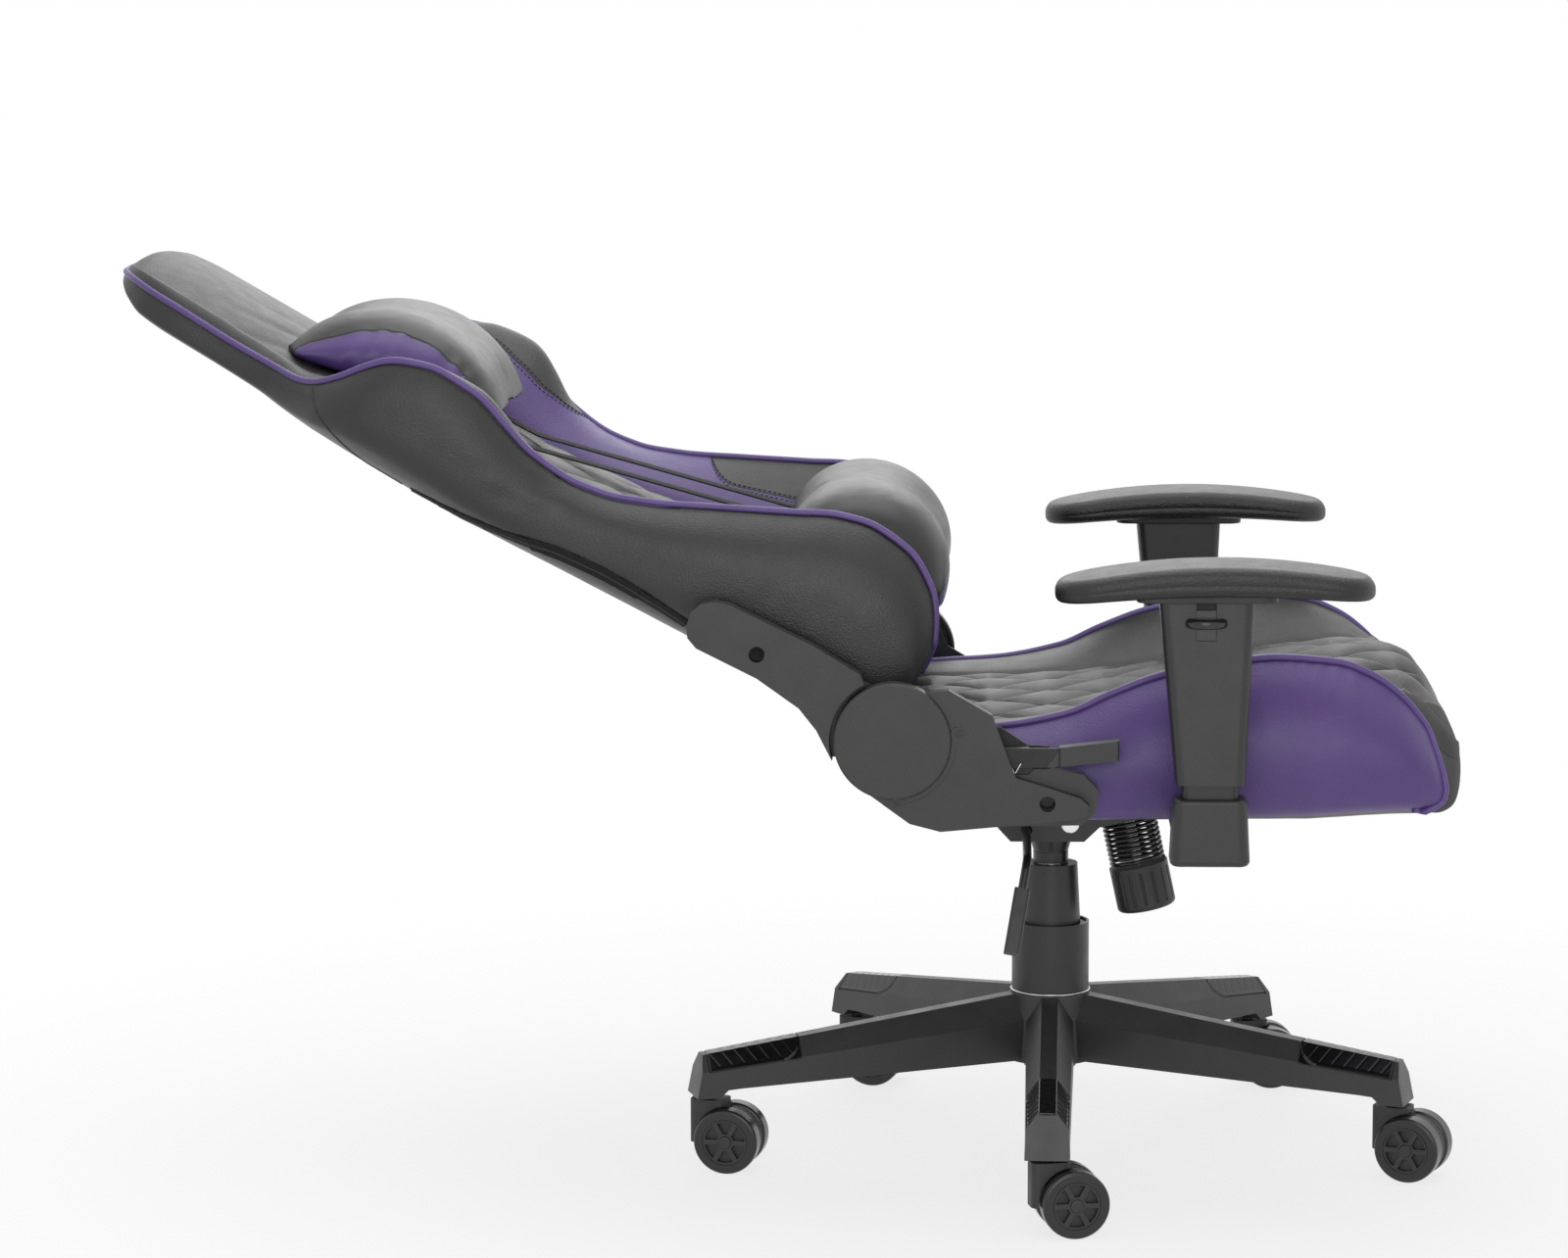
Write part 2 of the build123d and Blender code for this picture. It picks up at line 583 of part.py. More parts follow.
SEAT_STATIONS = (
    (-145, 374, 427, 424, 428, 216, 250, 236),
    (-100, 355, 429, 426, 430, 218, 256, 239),
    (-51, 348, 431, 427, 433, 220, 260, 240),
    (11, 349, 436, 430, 445, 222, 262, 240),
    (51, 350, 441, 433, 463, 222, 262, 240),
    (97, 351, 448, 438, 480, 222, 262, 240),
    (150, 353, 457, 445, 490, 221, 262, 240),
    (195, 354, 464, 451, 495, 220, 262, 240),
    (248, 357, 472, 458, 491, 219, 261, 240),
    (280, 359, 475, 461, 478, 217, 259, 239),
    (307, 360, 473, 457, 459, 215, 256, 237),
    (331, 361, 465, 446, 428, 210, 247, 230),
)
SEAT_NOSE = (
    (345, 347, 449, 430),
    (356, 349, 431, 413),
    (364, 356, 414, 401),
    (369, 368, 397, 391),
)
BOLSTER_NOSE = (
    (345, 360, 430, 402, 198, 231, 213),
    (355, 358, 414, 393, 182, 208, 192),
    (363, 359, 402, 389, 166, 178, 171),
)


def seat_middle_section(x, foot, crown, seam):
    left, right = SEAM_HALF, -SEAM_HALF
    return Wire([
        line((x, right, foot), (x, left, foot)),
        line((x, left, foot), (x, left, seam)),
        arc((x, left, seam), (x, 0, crown), (x, right, seam)),
        line((x, right, seam), (x, right, foot)),
    ])


def bolster_section(x, foot, seam, pipe_z, pipe_y, side_y, foot_y):
    inner = SEAM_HALF + FOAM_GAP
    rise = 4 if pipe_z > seam else 7
    return Wire([
        line((x, inner, SEAT_FOOT_Z), (x, foot_y, foot)),
        arc((x, foot_y, foot), (x, side_y, (foot + pipe_z) / 2), (x, pipe_y, pipe_z)),
        arc((x, pipe_y, pipe_z), (x, (pipe_y + inner) / 2, (pipe_z + seam) / 2 + rise),
            (x, inner, seam)),
        line((x, inner, seam), (x, inner, SEAT_FOOT_Z)),
    ])


middle_wires = [seat_middle_section(x, SEAT_FOOT_Z, crown, seam)
                for x, foot, crown, seam, *side in SEAT_STATIONS]
middle_wires += [seat_middle_section(*nose) for nose in SEAT_NOSE]
seat_cushion = Part() + Solid.make_loft(middle_wires)
bolster_wires = [bolster_section(x, foot, seam, *side)
                 for x, foot, crown, seam, *side in SEAT_STATIONS]
bolster_wires += [bolster_section(*nose) for nose in BOLSTER_NOSE]
left_bolster = Part() + Solid.make_loft(bolster_wires)


def seat_frame_solid(grow):
    half = SEAT_RAIL / 2 + grow
    rail_y = SEAT_RAIL_Y
    frame = Part()
    for side in (-1, 1):
        y = side * rail_y
        frame += block(-132 - grow, 296 + grow, y - half, y + half,
                       SEAT_RAIL_Z - half, SEAT_RAIL_Z + half)
    for x in (-120.0, SEAT_BOLT_X, 112.0, 286.0):
        frame += disc_y(x, SEAT_RAIL_Z, SEAT_TUBE_R - 1 + grow, -rail_y, rail_y)
    for x in (SEAT_BOLT_X, -120.0):
        reach = BRACKET_Y - SEAT_FIT
        frame += disc_y(x, SEAT_RAIL_Z, SEAT_TUBE_R - 1 + grow, -reach, reach)
    for x, y in bolt_spots:
        frame += block(x - 12 - grow, x + 12 + grow, y - 12 - grow, y + 12 + grow,
                       SEAT_RAIL_Z - half, SEAT_RAIL_Z - 2 + grow)
    for side in (-1, 1):
        y = side * 78.0
        frame += block(-100 - grow, 124 + grow, y - 10 - grow, y + 10 + grow,
                       SEAT_RAIL_Z - half, SEAT_RAIL_Z - 2 + grow)
        y = side * ARM_BOLT_Y
        frame += block(ARM_X - 32 - grow, ARM_X + 32 + grow, y - 8 - grow, y + 8 + grow,
                       SEAT_RAIL_Z - half, SEAT_RAIL_Z - 2 + grow)
    return frame


seat_frame = seat_frame_solid(0)
seat_bolts = []
arm_bolt_x = (ARM_X - ARM_BOLT_SPREAD, ARM_X + ARM_BOLT_SPREAD)
arm_bolt_spots = [(x, y) for x in arm_bolt_x for y in (-ARM_BOLT_Y, ARM_BOLT_Y)]
bolt_tip_z = SEAT_RAIL_Z - 4
seat_cavity = seat_frame_solid(FOAM_GAP)
for x, y in bolt_spots:
    shank = disc_z(x, y, SEAT_BOLT_R, PLATE_Z - 0.5, bolt_tip_z)
    shank += disc_z(x, y, SEAT_BOLT_HEAD_R, PLATE_Z - 5, PLATE_Z)
    seat_bolts.append(shank)
    seat_frame -= disc_z(x, y, SEAT_BOLT_R + SEAT_FIT, SEAT_FOOT_Z, bolt_tip_z + SEAT_FIT)
    seat_cavity += disc_z(x, y, SEAT_BOLT_R + FOAM_GAP, SEAT_FOOT_Z - 5, SEAT_RAIL_Z)
arm_plate_z = SEAT_FOOT_Z - SOFT_GAP - ARM_PLATE
for x, y in arm_bolt_spots:
    shank = disc_z(x, y, SEAT_BOLT_R, arm_plate_z - 0.5, bolt_tip_z)
    shank += disc_z(x, y, SEAT_BOLT_HEAD_R, arm_plate_z - 5, arm_plate_z)
    seat_bolts.append(shank)
    seat_frame -= disc_z(x, y, SEAT_BOLT_R + SEAT_FIT, SEAT_FOOT_Z, bolt_tip_z + SEAT_FIT)
    seat_cavity += disc_z(x, y, SEAT_BOLT_R + FOAM_GAP, SEAT_FOOT_Z - 5, SEAT_RAIL_Z)
seat_cushion -= seat_cavity
left_bolster -= seat_cavity
save("seat_cushion", seat_cushion)
save("seat_bolster_left", left_bolster)
save("seat_bolster_right", other_side(left_bolster))

# Recliner, drawn on the left-hand side (+Y) and mirrored

back_place = Location((PIVOT_X, 0, PIVOT_Z), (0, RECLINE - 90, 0))


def back_prism(points, y_from, y_to):
    """Extrude an outline given as (u, w) points of the back rest's own frame."""
    return back_place * prism_y([(w, u) for u, w in points], y_from, y_to)


def back_disc(u, w, radius, y_from, y_to):
    return back_place * disc_y(w, u, radius, y_from, y_to)


bracket_in = BRACKET_Y
bracket_out = BRACKET_Y + BRACKET_THICK
seat_bracket_outline = [(-172, 418), (-150, 388), (-118, 360), (-70, 358), (14, 362), (22, 376),
                        (12, 392), (-40, 404), (-100, 440)]
seat_bracket = prism_y(seat_bracket_outline, bracket_in, bracket_out)
seat_bracket += disc_y(PIVOT_X, PIVOT_Z, BRACKET_DISC_R, bracket_in, bracket_out)
seat_bracket -= disc_y(PIVOT_X, PIVOT_Z, PIVOT_PIN_R + SEAT_FIT, 0, 400)
for x in (SEAT_BOLT_X, -120.0):
    seat_bracket -= disc_y(x, SEAT_RAIL_Z, SCREW_R + 1 + SEAT_FIT, 0, 400)
back_in = bracket_out + BRACKET_SPACE
back_out = back_in + BRACKET_THICK
back_bracket_outline = [(20, -34), (60, -16), (120, -10), (190, -12), (200, 2), (192, 18),
                        (120, 26), (60, 28), (20, 34)]
back_cover_outline = [(206, -5), (209, 8.5), (205, 19), (195, 27), (183, 31), (102, 37), (54, 36),
                      (20, 10), (20, -30), (37, -42), (62, -26), (85, -17), (130, -13), (189, -17),
                      (200, -13)]
back_bracket = back_prism(back_bracket_outline, back_in, back_out)
flange = back_prism(back_cover_outline, back_in, back_out)
back_bracket += flange & disc_y(PIVOT_X, PIVOT_Z, FLANGE_R, 200, 400)
back_bracket += disc_y(PIVOT_X, PIVOT_Z, BRACKET_DISC_R, back_in, back_out)
back_bracket -= disc_y(PIVOT_X, PIVOT_Z, PIVOT_PIN_R + RUN_GAP, 0, 400)
BACK_CROSS_U = (64.0, BACK_HOLE_U)
for u in BACK_CROSS_U:
    back_bracket -= back_disc(u, BACK_HOLE_W, SCREW_R + 1 + SEAT_FIT, 0, 400)
pivot_pin = disc_y(PIVOT_X, PIVOT_Z, PIVOT_PIN_R, BRACKET_Y - 1, back_out + 1)
pivot_pin += disc_y(PIVOT_X, PIVOT_Z, PIVOT_HEAD_R, back_out + RUN_GAP, back_out + 5)
save("recliner_seat_brackets", *both_sides(seat_bracket))
save("recliner_back_brackets", *both_sides(back_bracket))

COVER_FOOT = [(21.5, 381), (29, 374), (27.5, 366), (19, 362), (-101, 351), (-128, 358), (-166, 385.5)]
HOLLOW_FOOT = [(20, 378.6), (26, 373), (25, 368), (18, 364.5), (-101, 353.6), (-127, 360.4), (-163, 387.5)]
RIGHT_SCREWS = ((-85.4, 437.4), (-139.2, 376.6))
LEFT_SCREWS = ((-80.0, 405.0), (-139.2, 376.6))


def seat_cover(top, hollow_top, screw_spots):
    """Shell with the hinge disc; top is the outline's upper front run, from the disc to the foot."""
    shell = prism_y(top + COVER_FOOT, SEAT_COVER_Y, SEAT_COVER_OUT)
    shell += disc_y(PIVOT_X, PIVOT_Z, DISC_R, SEAT_COVER_Y, DISC_OUT)
    shell -= prism_y(hollow_top + HOLLOW_FOOT, SEAT_COVER_Y - 1, SEAT_COVER_OUT - COVER_SHELL)
    shell -= disc_y(PIVOT_X, PIVOT_Z, DISC_R - COVER_SHELL, SEAT_COVER_Y - 1, DISC_OUT - COVER_SHELL)
    groove = disc_y(PIVOT_X, PIVOT_Z, DISC_R + DISC_BAND, SEAT_COVER_OUT - 0.8, SEAT_COVER_OUT + 1)
    groove -= disc_y(PIVOT_X, PIVOT_Z, DISC_R, SEAT_COVER_OUT - 2, SEAT_COVER_OUT + 2)
    shell -= groove
    circles = shell.edges().filter_by(GeomType.CIRCLE)
    shell = fillet(circles.filter_by_position(Axis.Y, DISC_OUT - 0.1, DISC_OUT + 0.1), 2.0)
    shell -= disc_y(SEAT_BOLT_X, SEAT_RAIL_Z, ACCESS_HOLE_R, SEAT_COVER_Y, SEAT_COVER_OUT + 5)
    for x, z in screw_spots:
        shell += disc_y(x, z, SCREW_HEAD_R + 2, SEAT_COVER_Y, DISC_OUT - 3)
        shell -= disc_y(x, z, SCREW_HEAD_R + SEAT_FIT, SEAT_COVER_OUT - 1.6, DISC_OUT + 1)
        shell -= disc_y(x, z, SCREW_R + SEAT_FIT, SEAT_COVER_Y - 1, DISC_OUT)
    return shell


left_cover = seat_cover([(-150, 470), (-110, 450), (-88, 424), (-60, 410), (-35, 399)],
                        [(-146, 466), (-112, 447), (-91, 422), (-62, 407.4), (-37, 397)], LEFT_SCREWS)
lever_cover = seat_cover([(-150, 470), (-94, 476), (-56, 454), (-42, 416), (-35, 399)],
                         [(-146, 466), (-95, 472.8), (-58, 452), (-44.5, 414.6), (-37, 397)],
                         RIGHT_SCREWS)
lever_cover -= block(LEVER_PIVOT_X + 8, -30, SEAT_COVER_Y - 1, SEAT_COVER_OUT - 3.5, 402, 448)
lobe_outline = [(-88, 353), (22, 355), (35, 366), (37.5, 386), (24, 400), (-4, 405), (-60, 405),
                (-88, 396)]
lobe = prism_y(lobe_outline, LOBE_Y, SEAT_COVER_Y - RUN_GAP)
lobe = fillet(lobe.edges().filter_by(Axis.Y), 4)
lobe -= disc_y(PIVOT_X, PIVOT_Z, DISC_R + 1, 200, 400)
lobe -= disc_y(SEAT_BOLT_X, SEAT_RAIL_Z, ACCESS_HOLE_R, 200, 400)
save("hinge_seat_covers", left_cover, other_side(lever_cover), *both_sides(lobe))

back_cover_hollow = [(203.5, -4), (206, 8), (203, 17.5), (194, 24.5), (182, 28.5), (102, 34.5),
                     (50, 33), (10, 10), (10, -30), (38, -38.5), (63, -23.3), (85, -14.5),
                     (130, -10.5), (188, -14.5), (198, -10.8)]
back_cover = back_prism(back_cover_outline, BACK_COVER_Y, BACK_COVER_OUT)
back_cover -= disc_y(PIVOT_X, PIVOT_Z, DISC_R + DISC_GAP, 200, 400)
hollow_top = BACK_COVER_OUT - COVER_SHELL
back_hollow = back_prism(back_cover_hollow, BACK_COVER_Y - 1, hollow_top)
back_hollow -= disc_y(PIVOT_X, PIVOT_Z, DISC_R + DISC_GAP + COVER_SHELL, 200, 400)
back_cover -= back_hollow
back_cover -= back_disc(BACK_HOLE_U, BACK_HOLE_W, ACCESS_HOLE_R, BACK_COVER_Y, BACK_COVER_OUT + 2)
save("hinge_back_covers", *both_sides(back_cover))


def cover_screw(x, z):
    head_out = DISC_OUT - 2.5
    screw = disc_y(x, z, SCREW_R, bracket_out + 8, DISC_OUT - 3)
    screw += disc_y(x, z, SCREW_HEAD_R, SEAT_COVER_OUT - 1.5, head_out)
    for turn in (25, 115):
        slot = Location((x, head_out, z), (0, turn, 0))
        screw -= slot * Box(CROSS_LONG, 2 * CROSS_DEEP, CROSS_WIDE)
    return screw


screws = [cover_screw(*spot) for spot in LEFT_SCREWS]
screws += [other_side(cover_screw(*spot)) for spot in RIGHT_SCREWS]
for x in (SEAT_BOLT_X, -120.0):
    screw = disc_y(x, SEAT_RAIL_Z, SCREW_R + 1, BRACKET_Y - 12, bracket_out + 0.5)
    screw += disc_y(x, SEAT_RAIL_Z, ACCESS_HOLE_R - 1, bracket_out, bracket_out + 0.9)
    screws += both_sides(screw)
    seat_frame -= disc_y(x, SEAT_RAIL_Z, SCREW_R + 1 + SEAT_FIT, BRACKET_Y - 12.1, 300)
    seat_frame -= disc_y(x, SEAT_RAIL_Z, SCREW_R + 1 + SEAT_FIT, -300, -BRACKET_Y + 12.1)
save("seat_frame", seat_frame)

lever_outline = [(-70, 410), (-62, 406.5), (-8, 407.5), (-2, 408), (8, 410), (8, 424), (-10, 425.5),
                 (-56, 426), (-68, 425)]
lever_out = RECLINE_LEVER_Y + RECLINE_LEVER_THICK
recline_lever = prism_y(lever_outline, RECLINE_LEVER_Y, lever_out)
recline_lever -= disc_y(LEVER_PIVOT_X, LEVER_PIVOT_Z, 4 + RUN_GAP, 200, 400)
lever_pin = disc_y(LEVER_PIVOT_X, LEVER_PIVOT_Z, 4, BRACKET_Y + BRACKET_THICK + 0.05, lever_out + 2)
grip_outline = [(2.5, 408.5), (55, 414.2), (55, 431.5), (2.5, 425.5)]
recline_grip = prism_y(grip_outline, RECLINE_LEVER_Y - 8, lever_out + 4)
recline_grip = fillet(recline_grip.edges().filter_by(Axis.Z), 2)
recline_grip -= prism_y([(-5, 409.9), (8.1, 409.9), (8.1, 424.4), (-5, 424.4)],
                        RECLINE_LEVER_Y - SEAT_FIT, lever_out + SEAT_FIT)
recline_lever &= block(-100, 60, 200, 400, 400, 424.3) - block(2, 60, 200, 400, 400, 410)
save("recline_lever", other_side(recline_lever))
save("recline_lever_grip", other_side(recline_grip))
pivots = [*both_sides(pivot_pin), other_side(lever_pin)]
save("seat_fasteners", *seat_bolts, *screws, *pivots)

# Back rest: stations run up the back as
# (u, rear, crown, seam, piping w, inner swell, piping v, side v, rear corner v)

BACK_STATIONS = (
    (BACK_FOOT_U, -26, 56, 50, 84, 5, 222, 250, 214),
    (36, -30, 62, 56, 124, 5, 225, 257, 222),
    (72, -31, 64, 57, 145, 5, 226, 260, 228),
    (104, -31, 62, 54, 148, 5, 226, 261, 230),
    (176, -31, 53, 44, 121, 5, 226, 261, 230),
    (233, -33, 46, 35, 92, 5, 225, 258, 228),
    (290, -36, 36, 27, 64, 6, 224, 252, 224),
    (364, -40, 27, 19, 46, 8, 226, 248, 222),
    (435, -44, 24, 15, 60, 14, 236, 254, 224),
    (503, -44, 25, 12, 74, 14, 246, 259, 222),
    (549, -44, 25, 8, 58, 9, 244, 254, 214),
    (581, -44, 24, 4, 24, 5, 226, 236, 200),
    (612, -44, 22, 0, 2, 5, 190, 196, 178),
    (636, -44, 20, -4, -7, 5, 164, 168, 160),
)
HEAD_STATIONS = (
    (690, -44, 20, -6, 149),
    (740, -44, 20, -8, 143),
    (775, -43, 18, -9, 131),
    (797, -37, 11, -10, 112),
    (812, -26, -2, -14, 80),
)


def back_middle_section(u, rear, crown, seam, half):
    corner = rear + 3
    return Wire([
        arc((corner, -half, u), (rear, 0, u), (corner, half, u)),
        line((corner, half, u), (seam, half, u)),
        arc((seam, half, u), (crown, 0, u), (seam, -half, u)),
        line((seam, -half, u), (corner, -half, u)),
    ])


def wing_section(u, rear, seam, pipe_w, swell, pipe_v, side_v, rear_v):
    inner = SEAM_HALF + FOAM_GAP
    return Wire([
        line((rear + 3, inner, u), (rear + 8, rear_v, u)),
        arc((rear + 8, rear_v, u), ((rear + pipe_w) / 2, side_v, u), (pipe_w, pipe_v, u)),
        arc((pipe_w, pipe_v, u), ((pipe_w + seam) / 2 + swell, (pipe_v + inner) / 2, u),
            (seam, inner, u)),
        line((seam, inner, u), (rear + 3, inner, u)),
    ])


back_wires = [back_middle_section(u, rear, crown, seam, SEAM_HALF)
              for u, rear, crown, seam, *wing in BACK_STATIONS]
back_wires += [back_middle_section(*station) for station in HEAD_STATIONS]
back_middle = Part() + Solid.make_loft(back_wires)
wing_wires = [wing_section(u, rear, seam, *wing)
              for u, rear, crown, seam, *wing in BACK_STATIONS]
left_wing = Part() + Solid.make_loft(wing_wires)
right_wing = other_side(left_wing)


def back_frame_solid(grow):
    radius = BACK_TUBE_R + grow
    frame = Part()
    for side in (-1, 1):
        upright = disc_z(BACK_TUBE_W, side * BACK_TUBE_V, radius, 50 - grow, BACK_TUBE_TOP_U)
        frame += upright + Pos(BACK_TUBE_W, side * BACK_TUBE_V, BACK_TUBE_TOP_U) * Sphere(radius)
    for u in (330.0, 540.0, BACK_TUBE_TOP_U):
        frame += disc_y(BACK_TUBE_W, u, radius - 1, -BACK_TUBE_V, BACK_TUBE_V)
    reach = back_in - RUN_GAP
    for u in BACK_CROSS_U:
        frame += disc_y(BACK_HOLE_W, u, radius - 1, -reach, reach)
        for side in (-1, 1):
            y = side * BACK_TUBE_V
            frame += block(BACK_TUBE_W, BACK_HOLE_W, y - 6 - grow, y + 6 + grow,
                           u - 6 - grow, u + 6 + grow)
    return frame


back_frame = back_frame_solid(0)
back_cavity = back_frame_solid(FOAM_GAP)
back_screws = []
for u in BACK_CROSS_U:
    for side in (-1, 1):
        head_y = side * back_out
        tip_y = side * (back_in - 16)
        screw = disc_y(BACK_HOLE_W, u, SCREW_R + 1, tip_y, head_y + side * 0.4)
        screw += disc_y(BACK_HOLE_W, u, ACCESS_HOLE_R - 1, head_y, head_y + side * 0.9)
        back_screws.append(screw)
        back_frame -= disc_y(BACK_HOLE_W, u, SCREW_R + 1 + SEAT_FIT, tip_y - side * 0.1, head_y)
foam_ahead = [Pos(SOFT_GAP, 0, 0) * shape for shape in (back_middle, left_wing, right_wing)]


def pillow_section(v, low, high, front, rear):
    """Two arcs between the low and high tips, each given as (u, w)."""
    low_point, high_point = (low[1], v, low[0]), (high[1], v, high[0])
    return Wire([
        arc(low_point, (front[1], v, front[0]), high_point),
        arc(high_point, (rear[1], v, rear[0]), low_point),
    ])


HEAD_PILLOW = (
    (142, (462, 46), (630, 12), (546, 52), (545, 34)),
    (122, (446, 50), (643, 6), (543, 75), (545, 20)),
    (60, (441, 52), (646, 4), (540, 87), (545, 10)),
)
LUMBAR_PILLOW = (
    (170, (32, 115), (158, 103), (90, 141), (94, 92)),
    (150, (16, 108), (170, 95), (82, 163), (94, 60)),
    (80, (12, 104), (174, 92), (78, 170), (94, 48)),
)


def pillow(stations):
    full = [*stations, *[(-v, *rest) for v, *rest in reversed(stations)]]
    shape = Part() + Solid.make_loft([pillow_section(*station) for station in full])
    for shift in foam_ahead:
        shape -= shift
    return max(shape.solids(), key=lambda solid: solid.volume)


head_pillow = pillow(HEAD_PILLOW)
lumbar_pillow = pillow(LUMBAR_PILLOW)
straps = []
for side in (-1, 1):
    edge = side * STRAP_V - STRAP_WIDE / 2
    way = [(166, 95.0), (410, 30.6), (486, 27.5)]
    run = way + [(u, w + STRAP_THICK) for u, w in reversed(way)]
    strap = prism_y([(w, u) for u, w in run], edge, edge + STRAP_WIDE)
    for blocker in foam_ahead:
        strap -= blocker
    for cushion in (head_pillow, lumbar_pillow):
        strap -= Pos(SOFT_GAP, 0, 0) * cushion
        strap -= Pos(0, 0, SOFT_GAP) * cushion
        strap -= Pos(0, 0, -SOFT_GAP) * cushion
    straps.append(max(strap.solids(), key=lambda solid: solid.volume))

save("back_frame", back_place * back_frame)
save("back_cushion", back_place * (back_middle - back_cavity))
save("back_wing_left", back_place * (left_wing - back_cavity))
save("back_wing_right", back_place * (right_wing - back_cavity))
save("back_screws", *[back_place * screw for screw in back_screws])
save("head_pillow", back_place * head_pillow)
save("lumbar_pillow", back_place * lumbar_pillow)
save("pillow_straps", *[back_place * strap for strap in straps])


# Armrests, drawn on the left-hand side (+Y) and mirrored

def tapered_post(foot_long, top_long, thick, z_from, z_to, lean_x, corner):
    foot = Pos(ARM_X, ARM_Y, z_from) * RectangleRounded(foot_long, thick, corner)
    top = Pos(ARM_X + lean_x, ARM_Y, z_to) * RectangleRounded(top_long, thick, corner)
    return Part() + loft([foot, top])


post_z = CUP_Z + CUP_FLOOR
post = Pos(ARM_X, ARM_Y, (post_z + POST_TOP_Z) / 2) * Box(POST_LONG, POST_THICK, POST_TOP_Z - post_z)
post = fillet(post.edges().filter_by(Axis.Z), 6)
cup = tapered_post(CUP_FOOT_LONG, CUP_TOP_LONG, CUP_THICK, CUP_Z, CUP_TOP_Z, 0, 10)
cup = fillet(cup.edges().group_by(Axis.Z)[0], 5)
cup = fillet(cup.edges().group_by(Axis.Z)[-1], 3.5)
arm_reach = ARM_Y - CUP_THICK / 2 + 8
plate_half = ARM_PLATE_LONG / 2
arm_plate = block(ARM_X - plate_half, ARM_X + plate_half, ARM_PLATE_IN, arm_reach, arm_plate_z,
                  arm_plate_z + ARM_PLATE)
arm_plate = fillet(arm_plate.edges().filter_by(Axis.Z), 6)
plate_slot = block(ARM_X - plate_half - POST_FIT, ARM_X + plate_half + POST_FIT, 200,
                   arm_reach + POST_FIT, arm_plate_z - POST_FIT, arm_plate_z + ARM_PLATE + POST_FIT)
cup -= plate_slot
post_well = Pos(ARM_X, ARM_Y, 0) * Box(POST_LONG + 2 * POST_FIT, POST_THICK + 2 * POST_FIT, 2000)
cup -= post_well & block(0, 300, 200, 400, post_z - POST_FIT, CUP_TOP_Z + 1)
post -= plate_slot
for x in arm_bolt_x:
    arm_plate -= disc_z(x, ARM_BOLT_Y, SEAT_BOLT_R + SEAT_FIT, arm_plate_z - 1, SEAT_FOOT_Z)
save("armrest_brackets", *both_sides(arm_plate), *both_sides(post))
save("armrest_cups", *both_sides(cup))

sleeve = tapered_post(SLEEVE_FOOT_LONG, SLEEVE_TOP_LONG, SLEEVE_THICK, SLEEVE_Z, SLEEVE_TOP_Z,
                      SLEEVE_LEAN, 9)
sleeve_well = Box(POST_LONG + 2 * RUN_GAP, POST_THICK + 2 * RUN_GAP, 2 * (SLEEVE_TOP_Z - SLEEVE_ROOF))
sleeve -= Pos(ARM_X, ARM_Y, 0) * sleeve_well
sleeve_out = ARM_Y + SLEEVE_THICK / 2
slot_half = TRIGGER_WIDE / 2 + RUN_GAP
sleeve -= block(TRIGGER_X - slot_half, TRIGGER_X + slot_half, sleeve_out - 5, sleeve_out + 1,
                TRIGGER_Z - RUN_GAP, SLEEVE_TOP_Z + 1)
trigger = block(TRIGGER_X - TRIGGER_WIDE / 2, TRIGGER_X + TRIGGER_WIDE / 2, sleeve_out - 4.7,
                sleeve_out - 0.8, TRIGGER_Z, TRIGGER_TOP_Z)
lip = disc_z(TRIGGER_X, sleeve_out - 8, TRIGGER_LIP_R, TRIGGER_LIP_Z - 4.5, TRIGGER_LIP_Z + 4.5)
lip &= block(TRIGGER_X - 30, TRIGGER_X + 30, sleeve_out + 0.4, sleeve_out + 30, 400, 600)
lip = fillet(lip.edges().filter_by(GeomType.CIRCLE), 4)
neck = block(TRIGGER_X - 7, TRIGGER_X + 7, sleeve_out - 2, sleeve_out + 2, TRIGGER_LIP_Z - 3,
             TRIGGER_LIP_Z + 3)
trigger = trigger + lip + neck

pad_left, pad_right = PAD_X - PAD_LONG / 2, PAD_X + PAD_LONG / 2
pad_side = Wire([
    arc((pad_left - 10, 0, 573), (PAD_X, 0, 592), (pad_right + 10, 0, 576)),
    line((pad_right + 10, 0, 576), (pad_right + 10, 0, 558)),
    arc((pad_right + 10, 0, 558), (PAD_X, 0, SLEEVE_TOP_Z + PAD_PLATE + 2),
        (pad_left - 10, 0, 555)),
    line((pad_left - 10, 0, 555), (pad_left - 10, 0, 573)),
])
pad = Pos(0, ARM_Y - 100, 0) * extrude(Face(pad_side), amount=200, dir=(0, 1, 0))
plan = Pos(PAD_X, ARM_Y, 500) * RectangleRounded(PAD_LONG, PAD_WIDE, 38)
pad &= extrude(plan, amount=200)
pad = fillet(pad.edges().filter_by_position(Axis.Z, 545, 600), 6.5)
plate_plan = Pos(PAD_X - 7, ARM_Y, SLEEVE_TOP_Z)
plate_plan *= RectangleRounded(PAD_PLATE_LONG, PAD_PLATE_WIDE, 12)
pad_plate = extrude(plate_plan, amount=PAD_PLATE + 12)
pad += pad_plate
save("armrest_sleeve_left", sleeve)
save("armrest_sleeve_right", other_side(sleeve))
save("armrest_trigger_left", trigger)
save("armrest_trigger_right", other_side(trigger))
save("armrest_pad_left", pad)
save("armrest_pad_right", other_side(pad))
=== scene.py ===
from math import cos, pi, radians, sin

import bmesh
import bpy
import numpy as np
from mathutils import Matrix, Vector


